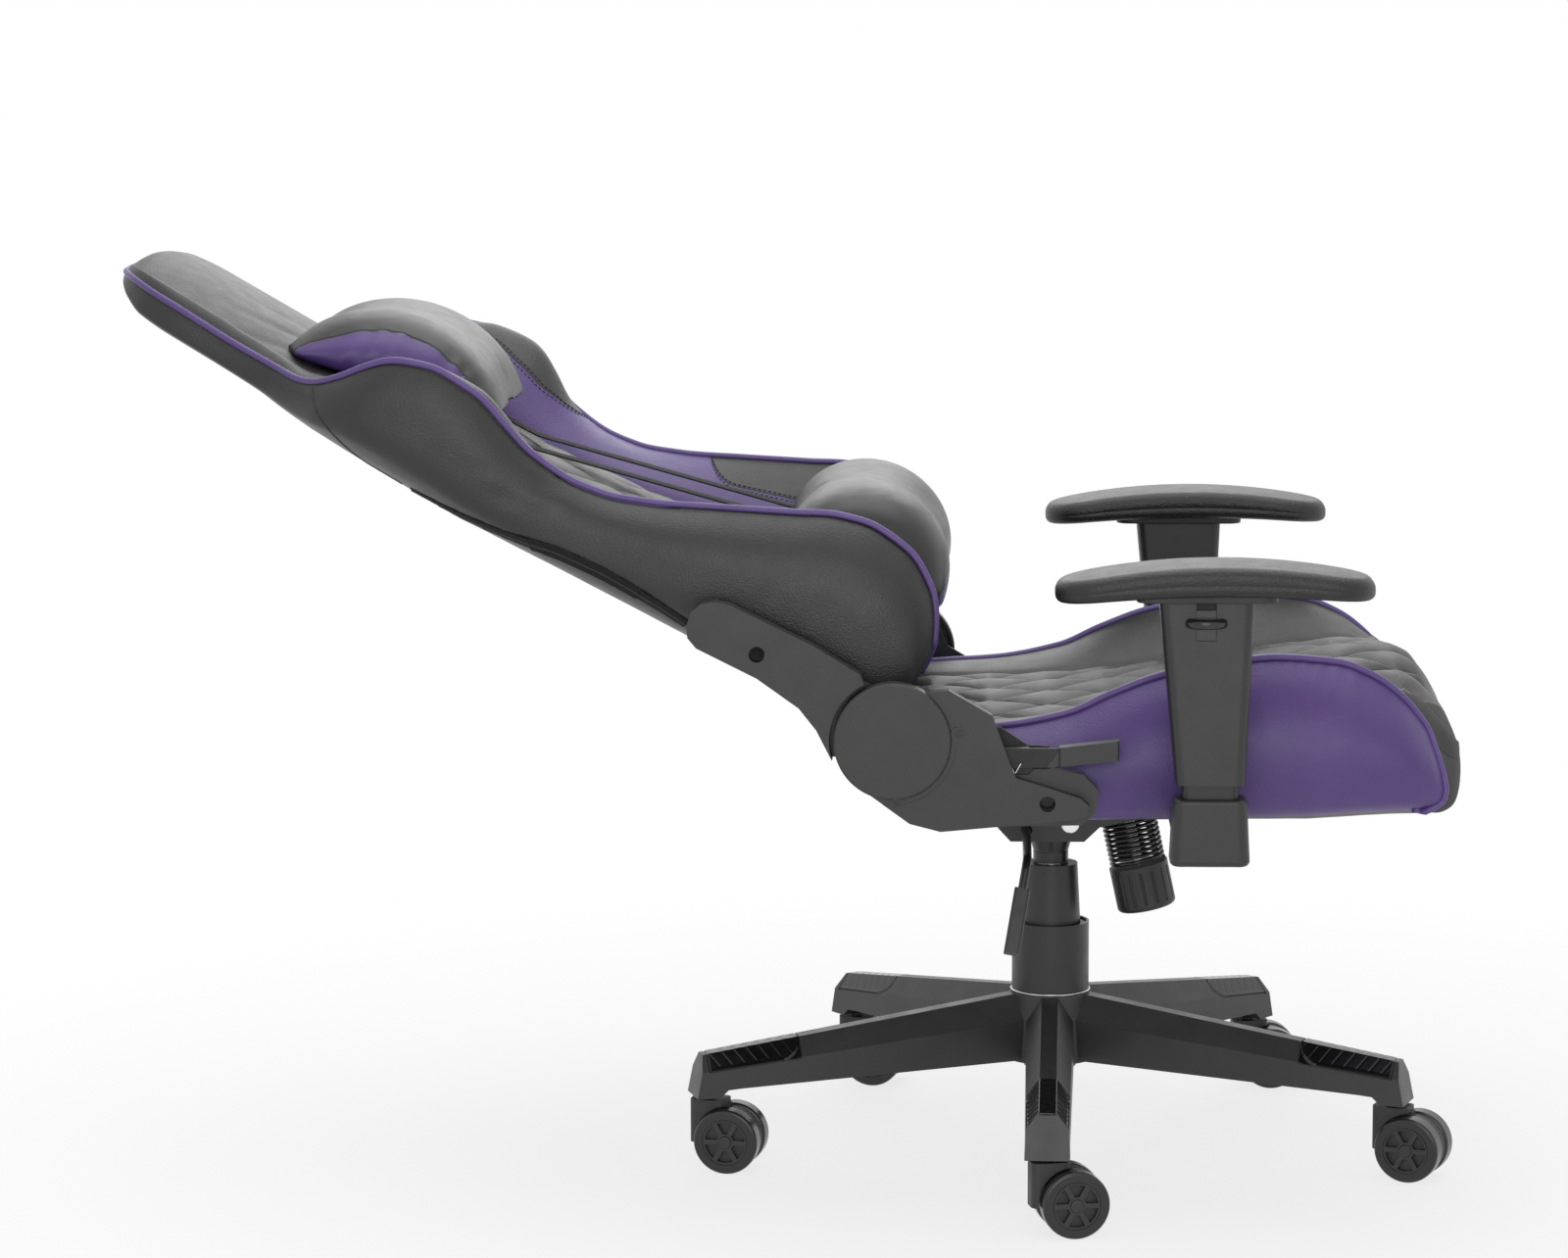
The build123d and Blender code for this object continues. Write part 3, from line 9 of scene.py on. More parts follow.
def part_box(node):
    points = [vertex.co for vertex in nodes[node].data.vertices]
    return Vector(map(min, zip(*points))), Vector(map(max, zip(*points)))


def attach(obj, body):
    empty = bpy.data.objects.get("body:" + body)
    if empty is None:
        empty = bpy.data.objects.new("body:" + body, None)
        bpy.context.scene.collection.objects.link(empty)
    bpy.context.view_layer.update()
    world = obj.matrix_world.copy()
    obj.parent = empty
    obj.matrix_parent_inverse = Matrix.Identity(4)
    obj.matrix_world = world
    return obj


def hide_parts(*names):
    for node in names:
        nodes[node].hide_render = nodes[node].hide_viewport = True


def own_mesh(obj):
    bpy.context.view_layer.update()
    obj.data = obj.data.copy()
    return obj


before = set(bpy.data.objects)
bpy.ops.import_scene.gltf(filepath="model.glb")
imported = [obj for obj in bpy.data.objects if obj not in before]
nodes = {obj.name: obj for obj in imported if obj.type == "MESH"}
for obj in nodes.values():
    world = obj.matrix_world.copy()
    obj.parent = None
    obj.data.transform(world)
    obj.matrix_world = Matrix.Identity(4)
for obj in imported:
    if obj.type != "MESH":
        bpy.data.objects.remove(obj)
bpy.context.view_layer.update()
scene = bpy.context.scene

# Shapes are in millimetres of the part's own frame, and become metres when a mesh is made.
# Materials, finishes, the spring and the studio are in metres.

RECLINE = radians(30.5)
PIVOT_X, PIVOT_Z = -143.0, 431.0

BLACK = (0.020, 0.0195, 0.019)
BLACK_WARM = (0.030, 0.029, 0.028)
PURPLE = (0.124, 0.072, 0.258)
PURPLE_DEEP = (0.070, 0.034, 0.175)
CHARCOAL = (0.027, 0.026, 0.0252)


# Materials: each is a small tree of procedural nodes in the piece's own coordinates

class Maker:
    """A material's node tree, with short calls that add nodes to it."""

    def __init__(self, name):
        self.material = bpy.data.materials.new(name)
        self.material.use_nodes = True
        self.tree = self.material.node_tree
        self.shader = self.tree.nodes["Principled BSDF"]
        self.spot = self.node("ShaderNodeTexCoord").outputs["Object"]

    def node(self, kind, **settings):
        made = self.tree.nodes.new(kind)
        for key, value in settings.items():
            setattr(made, key, value)
        return made

    def feed(self, socket, value):
        if isinstance(value, bpy.types.NodeSocket):
            self.tree.links.new(value, socket)
        elif isinstance(value, (tuple, list)) and len(value) == 3 and socket.type == "RGBA":
            socket.default_value = (*value, 1.0)
        else:
            socket.default_value = value

    def math(self, operation, a, b=0.0):
        made = self.node("ShaderNodeMath", operation=operation)
        self.feed(made.inputs[0], a)
        self.feed(made.inputs[1], b)
        return made.outputs[0]

    def blend(self, factor, a, b):
        made = self.node("ShaderNodeMix", data_type="RGBA")
        self.feed(made.inputs[0], factor)
        self.feed(made.inputs[6], a)
        self.feed(made.inputs[7], b)
        return made.outputs[2]

    def noise(self, scale, detail=3.0, rough=0.5):
        made = self.node("ShaderNodeTexNoise")
        self.feed(made.inputs["Vector"], self.spot)
        made.inputs["Scale"].default_value = scale
        made.inputs["Detail"].default_value = detail
        made.inputs["Roughness"].default_value = rough
        return made.outputs["Fac"]

    def cells(self, scale):
        made = self.node("ShaderNodeTexVoronoi")
        self.feed(made.inputs["Vector"], self.spot)
        made.inputs["Scale"].default_value = scale
        return made.outputs["Distance"]

    def span(self, value, low, high, to_low=0.0, to_high=1.0):
        made = self.node("ShaderNodeMapRange")
        self.feed(made.inputs["Value"], value)
        for key, number in zip(("From Min", "From Max", "To Min", "To Max"),
                               (low, high, to_low, to_high)):
            made.inputs[key].default_value = number
        return made.outputs["Result"]

    def value_of(self, name):
        return self.node("ShaderNodeAttribute", attribute_name=name).outputs["Fac"]

    def bump(self, height, distance, under=None):
        made = self.node("ShaderNodeBump")
        made.inputs["Distance"].default_value = distance
        made.inputs["Strength"].default_value = 1.0
        self.feed(made.inputs["Height"], height)
        if under is not None:
            self.feed(made.inputs["Normal"], under)
        return made.outputs["Normal"]

    def set(self, **values):
        for key, value in values.items():
            self.feed(self.shader.inputs[key.replace("_", " ").title()], value)


def leather_bump(m, grain, depth):
    """Pebbled grain with fine pores and broad soft waves."""
    pebbles = m.cells(1.0 / grain)
    pores = m.noise(2.2 / grain, 2.0, 0.6)
    waves = m.noise(14.0, 2.0)
    low = m.bump(waves, 0.0012)
    mid = m.bump(pebbles, depth, low)
    return m.bump(pores, depth * 0.5, mid)


def leather(name, colour, rough=0.40, grain=0.0016, depth=0.00022):
    m = Maker(name)
    patch = m.noise(9.0, 3.0)
    lighter = tuple(c * 1.22 + 0.001 for c in colour)
    darker = tuple(c * 0.86 for c in colour)
    m.set(base_color=m.blend(patch, darker, lighter), normal=leather_bump(m, grain, depth),
          roughness=m.span(m.noise(60.0, 3.0), 0.2, 0.8, rough - 0.05, rough + 0.06))
    return m.material


def two_tone(name, grain=0.0016, depth=0.00022, rough=0.40):
    """Black leather that turns purple where the attribute 'edge' is above zero, with a sewn line
    between, painted shade that darkens that line and the sewing lines where the attribute 'sewn' is
    near zero (both in mm), as their creases would be shaded, and a duller skin where the attribute 'matte' is
    one."""
    m = Maker(name)
    edge = m.value_of("edge")
    purple = m.span(edge, -0.4, 0.4)
    patch = m.noise(9.0, 3.0)
    black = m.blend(patch, tuple(c * 0.86 for c in BLACK), BLACK_WARM)
    violet = m.blend(patch, PURPLE_DEEP, tuple(c * 1.18 for c in PURPLE))
    tone = m.blend(purple, black, violet)
    # painted shade: the seam between black and purple is darkened where 'edge' is near zero
    seam_shade = m.span(m.math("ABSOLUTE", edge), 0.2, 1.5, 1.0, 0.0)
    sewn = m.span(m.math("ABSOLUTE", m.value_of("sewn")), 0.8, 3.2, 1.0, 0.0)
    shaded_sewn_lines = m.math("MAXIMUM", seam_shade, sewn)
    # painted shade: the seams and sewing lines are darkened towards near black, as shade in their creases
    m.set(base_color=m.blend(m.math("MULTIPLY", shaded_sewn_lines, 0.75), tone, (0.006, 0.005, 0.008)))
    skin = leather_bump(m, grain, depth)
    fine = m.span(m.noise(60.0, 3.0), 0.2, 0.8, rough - 0.05, rough + 0.06)
    dull = m.math("MULTIPLY", m.value_of("matte"), 0.34)
    m.set(normal=m.bump(m.math("MULTIPLY", shaded_sewn_lines, -1.0), 0.0009, skin),
          roughness=m.math("ADD", fine, dull))
    return m.material


def plastic(name, colour, rough, grain=0.0007, depth=0.00008, wear=0.25):
    """Moulded plastic: fine spark-eroded grain, faint blotches and scuffs."""
    m = Maker(name)
    patch = m.noise(25.0, 4.0, 0.6)
    scuff = m.span(m.noise(6.0, 6.0, 0.7), 0.58, 0.75)
    tone = m.blend(patch, tuple(c * 0.85 for c in colour), tuple(c * 1.2 for c in colour))
    m.set(base_color=m.blend(m.math("MULTIPLY", scuff, wear), tone, tuple(c * 1.7 for c in colour)))
    grains = m.noise(1.0 / grain, 2.0, 0.6)
    m.set(normal=m.bump(grains, depth),
          roughness=m.span(m.noise(40.0, 4.0), 0.25, 0.75, rough - 0.06, rough + 0.08))
    return m.material


def metal(name, colour, rough, metallic, grain=0.0005):
    m = Maker(name)
    streak = m.noise(1.0 / grain, 3.0, 0.6)
    m.set(base_color=m.blend(streak, tuple(c * 0.8 for c in colour), tuple(min(1, c * 1.15) for c in colour)),
          metallic=metallic, normal=m.bump(streak, 0.00002),
          roughness=m.span(m.noise(90.0, 3.0), 0.2, 0.8, rough - 0.06, rough + 0.06))
    return m.material


def webbing(name):
    """Flat woven elastic: ribs along the strap and fine picks across it."""
    m = Maker(name)
    ribs = m.node("ShaderNodeTexWave", bands_direction="Y")
    m.feed(ribs.inputs["Vector"], m.spot)
    ribs.inputs["Scale"].default_value = 260.0
    picks = m.noise(900.0, 2.0)
    weave = m.math("ADD", ribs.outputs["Fac"], m.math("MULTIPLY", picks, 0.6))
    m.set(base_color=m.blend(ribs.outputs["Fac"], (0.006, 0.006, 0.006), (0.020, 0.019, 0.018)),
          normal=m.bump(weave, 0.0002), roughness=m.span(picks, 0.3, 0.7, 0.7, 0.85))
    m.shader.inputs["Specular IOR Level"].default_value = 0.25
    return m.material


piping_leather = leather("piping_leather", PURPLE, 0.36, 0.0011, 0.00012)
back_leather = two_tone("back_leather")
seat_leather = two_tone("seat_leather", rough=0.42)
thread_dark = leather("dark_thread", (0.012, 0.010, 0.016), 0.6, 0.0004, 0.0001)
cover_plastic = plastic("cover_plastic", CHARCOAL, 0.38)
column_plastic = plastic("column_plastic", CHARCOAL, 0.40, 0.0012, 0.00004)
base_plastic = plastic("base_plastic", (0.037, 0.037, 0.038), 0.40, 0.0009, 0.00006)
gloss_plastic = plastic("gloss_plastic", (0.008, 0.008, 0.008), 0.10, 0.003, 0.00001, 0.1)
tread_plastic = plastic("tread_plastic", (0.022, 0.022, 0.022), 0.22, 0.002, 0.00003, 0.15)
hub_plastic = plastic("hub_plastic", (0.030, 0.030, 0.030), 0.50)
grip_plastic = plastic("grip_plastic", (0.024, 0.024, 0.024), 0.42)
pad_skin = leather("pad_skin", (0.012, 0.0116, 0.0112), 0.42, 0.0019, 0.0003)
black_steel = metal("black_steel", (0.014, 0.014, 0.014), 0.32, 0.0)
spring_steel = metal("spring_steel", (0.010, 0.010, 0.010), 0.20, 0.0)
bright_steel = metal("bright_steel", (0.72, 0.72, 0.73), 0.26, 1.0)
# near-black plastic: painted shade on the screw heads inside the back's holes and on the armrest slots'
# floors, and the colour of the recliner plate, its catch and the lever behind the catch
black_and_recess_shade = plastic("black_and_recess_shade", (0.005, 0.005, 0.005), 0.55)
strap_web = webbing("strap_web")


# Mesh helpers

def unit(values):
    return np.clip(values, 0, 1)


def both(half, sign=1):
    """Columns of the left half, then those of the right half back to the middle."""
    return np.hstack([half, sign * half[:, -2:0:-1]])


def smooth_table(table, at):
    """Monotone cubic through the rows of a table, whose first column runs along."""
    table = np.asarray(table, float)
    x, y = table[:, 0], table[:, 1:]
    step = np.diff(x)[:, None]
    slope = np.diff(y, axis=0) / step
    inner = np.where(slope[:-1] * slope[1:] > 0,
                     2 * slope[:-1] * slope[1:] / (slope[:-1] + slope[1:] + 1e-12), 0.0)
    lean = np.vstack([slope[:1], inner, slope[-1:]])
    at = np.clip(np.asarray(at, float), x[0], x[-1])
    k = np.clip(np.searchsorted(x, at, side="right") - 1, 0, len(x) - 2)
    h = step[k]
    t = ((at - x[k]) / h[:, 0])[:, None]
    a = (1 + 2 * t) * (1 - t) ** 2
    b = t * (1 - t) ** 2
    c = t * t * (3 - 2 * t)
    d = t * t * (t - 1)
    return a * y[k] + b * h * lean[k] + c * y[k + 1] + d * h * lean[k + 1]


def through(a, m, b, t):
    """A curve from a to b that passes m half way, for arrays of points."""
    c = 2 * m - (a + b) / 2
    return (1 - t) ** 2 * a + 2 * t * (1 - t) * c + t * t * b


def back_point(u, v, w):
    """Row-frame millimetres of a point of the back rest's own upright frame."""
    u, v, w = np.broadcast_arrays(np.asarray(u, float), np.asarray(v, float), np.asarray(w, float))
    x = PIVOT_X - cos(RECLINE) * u + sin(RECLINE) * w
    z = PIVOT_Z + sin(RECLINE) * u + cos(RECLINE) * w
    return np.stack([x, v, z], -1)


def piece(name, points, faces, *materials, smooth=True):
    mesh = bpy.data.meshes.new(name)
    mesh.from_pydata((np.asarray(points, float).reshape(-1, 3) / 1000).tolist(), [], faces)
    for material in materials:
        mesh.materials.append(material)
    if smooth:
        mesh.polygons.foreach_set("use_smooth", [True] * len(mesh.polygons))
    mesh.update()
    made = bpy.data.objects.new(name, mesh)
    scene.collection.objects.link(made)
    return made


def grid_faces(rows, cols, ring=True, start=0):
    last = cols if ring else cols - 1
    return [(start + r * cols + c, start + r * cols + (c + 1) % cols,
             start + (r + 1) * cols + (c + 1) % cols, start + (r + 1) * cols + c)
            for r in range(rows - 1) for c in range(last)]


def cap_faces(rows, cols, first, last):
    """Fans that close a grid: its first ring to one point and its last ring to another."""
    end = (rows - 1) * cols
    return ([(first, (k + 1) % cols, k) for k in range(cols)]
            + [(last, end + k, end + (k + 1) % cols) for k in range(cols)])


def give(obj, name, values):
    attribute = obj.data.attributes.new(name, "FLOAT", "POINT")
    attribute.data.foreach_set("value", np.asarray(values, np.float32).ravel())


def closed(*parts, **settings):
    """A piece whose faces all look outward."""
    obj = piece(*parts, **settings)
    made = bmesh.new()
    made.from_mesh(obj.data)
    bmesh.ops.recalc_face_normals(made, faces=made.faces)
    made.to_mesh(obj.data)
    made.free()
    return obj


def even(path, step):
    """Points every step millimetres along a polyline."""
    path = np.asarray(path, float)
    run = np.r_[0, np.cumsum(np.linalg.norm(np.diff(path, axis=0), axis=1))]
    count = max(2, int(round(run[-1] / step)) + 1)
    at = np.linspace(0, run[-1], count)
    return np.stack([np.interp(at, run, path[:, k]) for k in range(3)], -1)


def frames_along(path):
    """Unit tangents and a pair of steady normals along a path."""
    ahead = np.gradient(path, axis=0)
    ahead /= np.linalg.norm(ahead, axis=1)[:, None] + 1e-12
    side = np.cross(ahead[0], (0.3, 0.1, 1.0))
    sides = []
    for way in ahead:
        side = side - way * side.dot(way)
        side /= np.linalg.norm(side)
        sides.append(side)
    sides = np.array(sides)
    return ahead, sides, np.cross(ahead, sides)


def rings_along(path, radius, sides):
    """Rings of points round a path, with a radius for each of its points."""
    _, a, b = frames_along(path)
    turn = (np.arange(sides) * 2 * pi / sides)[None, :, None]
    return path[:, None] + radius[:, None, None] * (np.cos(turn) * a[:, None] + np.sin(turn) * b[:, None])


def tube(name, path, radius, material, sides=12):
    """A round cord along a path, closed at both ends."""
    path = np.asarray(path, float)
    ring = rings_along(path, np.broadcast_to(radius, len(path)), sides)
    points = np.vstack([ring.reshape(-1, 3), path[:1], path[-1:]])
    faces = grid_faces(len(path), sides)
    faces += cap_faces(len(path), sides, len(points) - 2, len(points) - 1)
    return closed(name, points, faces, material)


def stitches(name, paths, long, gap, radius, material):
    """Short threads laid end to end along paths, sunk a little at both ends."""
    points, faces = [], []
    for path in paths:
        spots = even(path, long + gap)
        for a, b in zip(spots[:-1], spots[1:]):
            way = (b - a) / (np.linalg.norm(b - a) + 1e-9)
            run = a + way * np.array([0.0, 0.2, 0.8, 1.0])[:, None] * long
            thick = radius * np.array([0.35, 1.0, 1.0, 0.35])
            ring = rings_along(run, thick, 6)
            start = len(points)
            points += ring.reshape(-1, 3).tolist()
            faces += grid_faces(4, 6, True, start)
            faces += [tuple(start + k for k in range(6))[::-1], tuple(start + 18 + k for k in range(6))]
    return closed(name, points, faces, material)


QUILT_LONG, QUILT_WIDE = 107.0, 76.0


def quilt(along, across):
    """Height from 0 on the sewn diamonds to 1 on each puff, and distance to the sewing in mm."""
    one = along / QUILT_LONG + across / QUILT_WIDE
    two = along / QUILT_LONG - across / QUILT_WIDE
    near = 1.0 / np.hypot(1 / QUILT_LONG, 1 / QUILT_WIDE)
    off = np.minimum(*[np.abs(line - np.round(line)) * near for line in (one, two)])
    return 1 - unit(1 - 2 * off / near) ** 2.6, off


# Back rest: one cover over the centre, the two wings and the head
# (u, rear, crown, seam v, seam w, piping v, piping w, side v, rear corner v, inner swell)

BACK = (
    (6, -26, 55, 150, 49, 221, 80, 248, 212, 5),
    (20, -29, 59, 150, 53, 224, 107, 254, 218, 5),
    (36, -30, 62, 150, 56, 225, 126, 257, 222, 5),
    (72, -31, 64, 150, 57, 226, 145, 260, 228, 5),
    (104, -31, 62, 150, 54, 226, 148, 261, 230, 5),
    (136, -31, 58, 150, 50, 226, 141, 261, 230, 5),
    (176, -31, 53, 150, 44, 226, 121, 261, 230, 5),
    (233, -33, 46, 150, 35, 225, 92, 258, 228, 5),
    (290, -36, 36, 150, 27, 224, 64, 252, 224, 6),
    (330, -38, 31, 150, 22, 224, 50, 249, 222, 7),
    (364, -40, 27, 150, 19, 226, 46, 248, 222, 8),
    (401, -42, 25, 150, 17, 231, 50, 250, 223, 11),
    (435, -44, 24, 150, 15, 236, 61, 254, 224, 14),
    (469, -44, 24, 150, 14, 242, 72, 257, 224, 15),
    (503, -44, 25, 150, 12, 246, 74, 259, 222, 14),
    (532, -44, 25, 150, 9, 246, 67, 257, 218, 11),
    (549, -44, 25, 150, 8, 243, 58, 254, 214, 9),
    (564, -44, 24, 150, 6, 236, 43, 246, 208, 7),
    (581, -44, 24, 150, 4, 224, 21, 234, 200, 5),
    (598, -44, 23, 150, 2, 206, 4, 214, 188, 5),
    (616, -44, 22, 148, 0, 186, -5, 192, 176, 5),
    (644, -44, 20, 140, -1, 161, -9, 166, 154, 5),
    (690, -44, 20, 132, 0, 149, -11, 154, 142, 5),
    (740, -44, 20, 127, 0, 143, -10, 147, 136, 5),
    (771, -43, 18, 116, -1, 131, -11, 135, 125, 5),
    (791, -37, 11, 99, -4, 112, -12, 115, 105, 5),
    (802, -30, 3, 82, -8, 92, -13.5, 94, 86, 5),
    (807, -25, -4, 66, -11, 74, -14.5, 75, 69, 5),
)
LOBE_U, LOBE_LOW, LOBE_HIGH, LOBE_TALL = 456.0, 44.0, 72.0, 17.0
NEAR_LOBE = 0.35
BACK_TOP, BACK_FOOT = (808.5, 0, -15.0), (6, 0, 16.0)
BACK_QUILT_U, BACK_PUFF, BACK_SUNK = 8, 6.5, 4.0
HEAD_U, BACK_SEAM_DEEP = 612, 3.4
HEAD_CREASES = ((34, 0.10, 0.8), (76, 0.26, 1.1), (118, 0.42, 1.1))
SIDE_RIPPLE = 0.9
CENTRE, INNER, SIDE, REAR = 52, 26, 30, 18
PIPE = CENTRE + INNER
PANEL = ((6, 0.54), (228, 0.54), (245, 0.42), (256, 0.2), (263, 0.0), (300, -0.06), (350, -0.06),
         (368, -0.03), (380, 0.06), (394, 0.31), (412, 0.46), (440, 0.57), (466, 0.55), (482, 0.50),
         (500, 0.44), (540, 0.42), (580, 0.5), (600, 0.62), (616, 0.85), (630, 1.1), (813, 1.1))


def back_half(u, lobe_share=1.0):
    """Cross-sections of the left half: arrays of v and w, with a row for each u."""
    u = np.asarray(u, float)
    rear, crown, seam_v, seam_w, pipe_v, pipe_w, side_v, rear_v, swell = smooth_table(BACK, u).T[:, :, None]
    t = (np.arange(CENTRE) / CENTRE)[None]
    v, w = [seam_v * t], [crown + (seam_w - crown) * t ** 2]
    t = (np.arange(INNER) / INNER)[None]
    v.append(through(seam_v, (seam_v + pipe_v) / 2, pipe_v, t))
    past = (u - LOBE_U)[:, None]
    lobe = lobe_share * LOBE_TALL * np.exp(-(past / np.where(past < 0, LOBE_LOW, LOBE_HIGH)) ** 2)
    rise = (1 - t) / 0.22 * np.exp(1 - (1 - t) / 0.22)
    w.append(through(seam_w, (seam_w + pipe_w) / 2 + swell, pipe_w, t) + lobe * rise)
    t = (np.arange(SIDE) / SIDE)[None]
    v.append(side_v - np.where(t < 0.5, side_v - pipe_v, side_v - rear_v) * np.abs(1 - 2 * t) ** 3.0)
    w.append(through(pipe_w, (rear + pipe_w) / 2, rear + 8, t))
    t = (np.arange(REAR + 1) / REAR)[None]
    v.append(rear_v * (1 - t))
    w.append(rear + 8 * (1 - t) ** 3 + 0 * v[-1])
    v, w = np.hstack(v), np.hstack(w)
    corner = PIPE + SIDE
    for _ in range(14):
        for line in (v, w):
            part = line[:, corner - 6:corner + 7]
            part[:, 1:-1] = (part[:, :-2] + 2 * part[:, 1:-1] + part[:, 2:]) / 4
    return v, w


def make_back():
    u = np.r_[np.arange(6, 600, 3.6), np.arange(600, 800, 3.0), np.arange(800, 807.1, 1.0)]
    v, w = back_half(u)
    seam, pipe = CENTRE, PIPE
    rows, half = v.shape
    uu = np.repeat(u[:, None], half, 1)
    column = np.arange(half)[None]
    share = unit((pipe - column) / INNER)
    bound = smooth_table(PANEL, u)[:, 0][:, None]
    wide = np.hypot(v[:, seam] - v[:, pipe], w[:, seam] - w[:, pipe])[:, None]
    edge = np.minimum(share - bound, 1 - share) * wide
    from_seam = v[:, seam:seam + 1] - v
    edge = np.where(column < seam, -np.abs(from_seam), edge)
    edge = np.where(column > pipe, -1.0 * (column - pipe), edge)
    # quilted centre, up to the head
    puff, sewn = quilt(uu - BACK_QUILT_U, v)
    inside = unit((v[:, seam:seam + 1] - v) / 14) * (column < seam)
    fade = unit((HEAD_U - uu) / 16) * unit((uu - 14) / 12)
    w += np.where(column < seam, (BACK_PUFF * puff - BACK_SUNK) * inside * fade, 0)
    sewn = np.where((column < seam) & (fade > 0.6) & (inside > 0.3), sewn, 9.0)
    # seam between centre and wing draws in
    draw = np.exp(-((column - seam) / 1.6) ** 2) * unit((HEAD_U - u) / 20)[:, None]
    w -= BACK_SEAM_DEEP * draw
    # creases of the head where the pillow's band pulls, and soft unevenness of the sides
    for place, lean, deep in HEAD_CREASES:
        off = np.abs(v) - place - lean * (uu - 640)
        reach = unit((uu - 622) / 18) * unit((730 - uu) / 70)
        w -= np.where(column < pipe, deep * np.exp(-(off / 8.0) ** 2) * reach, 0)
    ripple = np.sin(uu / 9.0 + w / 5.0) * np.sin(uu / 23.0 - w / 13.0)
    near_waist = np.exp(-((uu - 385) / 45) ** 2) * np.exp(-((w - 22) / 22) ** 2)
    v += np.where((column > pipe + 2) & (column < half - REAR - 4), SIDE_RIPPLE * ripple * near_waist, 0)
    near_w = w + back_half(u, NEAR_LOBE)[1] - back_half(u)[1]
    loop_v = both(v, -1)
    loop_w = np.hstack([w, near_w[:, -2:0:-1]])
    loop_u = np.repeat(u[:, None], loop_v.shape[1], 1)
    points = back_point(loop_u, loop_v, loop_w).reshape(-1, 3)
    cols = loop_v.shape[1]
    faces = grid_faces(rows, cols)
    faces += cap_faces(rows, cols, len(points) + 1, len(points))
    points = np.vstack([points, [back_point(*BACK_TOP), back_point(*BACK_FOOT)]])
    made = closed("back_cover", points, faces, back_leather)
    # where 'edge' or 'sewn' is near zero the material paints shade into the seams and quilting lines
    for name, values in (("edge", edge), ("sewn", sewn)):
        give(made, name, np.r_[both(values).ravel(), -9.0, -9.0])
    return made


back_cover = make_back()
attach(back_cover, "back")
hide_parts("back_cushion", "back_wing_left", "back_wing_right")


def back_line(u, column, out=0.0, lobe_share=1.0):
    """Points of the left half's surface at one column for each u, moved out by some mm."""
    v, w = back_half(u, lobe_share)
    take = np.broadcast_to(column, len(u)).astype(float)
    low = np.clip(np.floor(take).astype(int), 0, v.shape[1] - 2)
    part = take - low
    row = np.arange(len(u))
    line_v = v[row, low] * (1 - part) + v[row, low + 1] * part
    line_w = w[row, low] * (1 - part) + w[row, low + 1] * part
    step_v, step_w = v[row, low + 1] - v[row, low], w[row, low + 1] - w[row, low]
    norm = np.hypot(step_v, step_w)
    return back_point(u, line_v - out * step_w / norm, line_w + out * step_v / norm)


mirror_y = np.array([1.0, -1.0, 1.0])
PIPE_R = 3.2
pipe_u = np.r_[np.arange(8, 807, 4.0), 807.0]
left_pipe = back_line(pipe_u, PIPE, 0.6)
foot_curl = back_point(np.array([4.0, 5.0]), np.array([205.0, 211.0]), np.array([54.0, 68.0]))
over = back_point(np.array([809.2, 810.0, 809.2]), np.array([40.0, 0.0, -40.0]), -15.2)
back_pipe_path = np.vstack([foot_curl, left_pipe, over, (left_pipe * mirror_y)[::-1],
                            (foot_curl * mirror_y)[::-1]])
back_piping = tube("back_piping", even(back_pipe_path, 3.5), PIPE_R, piping_leather)
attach(back_piping, "back")

lobe_u = np.arange(379, 618, 3.0)
lobe_line = CENTRE + INNER * (1 - smooth_table(PANEL, lobe_u)[:, 0])
low_u = np.arange(22, 262, 3.0)
low_line = CENTRE + INNER * (1 - smooth_table(PANEL, low_u)[:, 0])
seam_paths = []
for share, turn in ((1.0, 1.0), (NEAR_LOBE, mirror_y)):
    for shift in (-0.8, 0.8):
        for line_u, line in ((lobe_u, lobe_line), (low_u, low_line)):
            columns = np.clip(line + shift, 0, PIPE - 1)
            seam_paths.append(back_line(line_u, columns, 0.3, share) * turn)
back_stitches = stitches("back_stitches", seam_paths, 3.4, 1.6, 0.45, thread_dark)
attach(back_stitches, "back")


def side_column(u, w):
    """Column of the side panel at height w for each u."""
    w_all = back_half(u)[1]
    pipe, corner = PIPE, PIPE + SIDE
    found = []
    for row, height in zip(w_all, w):
        found.append(np.interp(-height, -row[pipe:corner + 1], np.arange(pipe, corner + 1)))
    return np.array(found)


head_seam = np.array([(597, -1), (585, -13), (565, -22), (538, -31), (509, -36), (486, -38)], float)
zip_line = np.array([(478, -34), (440, -31), (399, -26), (367, -20), (335, -13), (310, -10),
                     (287, -8), (258, -7.5), (229, -8), (205, -10)], float)
head_seam = head_seam[np.argsort(head_seam[:, 0])]
zip_line = zip_line[np.argsort(zip_line[:, 0])]
seam_u = np.arange(486, 598, 3.0)
seam_w = smooth_table(head_seam, seam_u)[:, 0]
head_seam_path = back_line(seam_u, side_column(seam_u, seam_w), -0.1)
for side, path in (("left", head_seam_path), ("right", head_seam_path * mirror_y)):
    cord = tube("head_seam_" + side, even(path, 3.0), 0.9, thread_dark, 8)
    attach(cord, "back")


EDGE_POINTS = 5


def ribbon(name, path, normals, wide, thick, material):
    """A flat band with rounded edges along a path, its width across the normals."""
    ahead, _, _ = frames_along(path)
    normals = normals - ahead * np.sum(normals * ahead, 1)[:, None]
    normals /= np.linalg.norm(normals, axis=1)[:, None]
    across = np.cross(ahead, normals)
    turn = np.linspace(0, pi, EDGE_POINTS)
    half = wide / 2 - thick / 2
    loop = [(half + np.sin(t) * thick / 2, np.cos(t) * thick / 2) for t in turn]
    loop += [(-x, -y) for x, y in loop]
    ring = np.stack([path + across * x + normals * y for x, y in loop], 1)
    cols = len(loop)
    faces = grid_faces(len(path), cols)
    faces += [tuple(range(cols))[::-1], tuple((len(path) - 1) * cols + k for k in range(cols))]
    return closed(name, ring, faces, material)


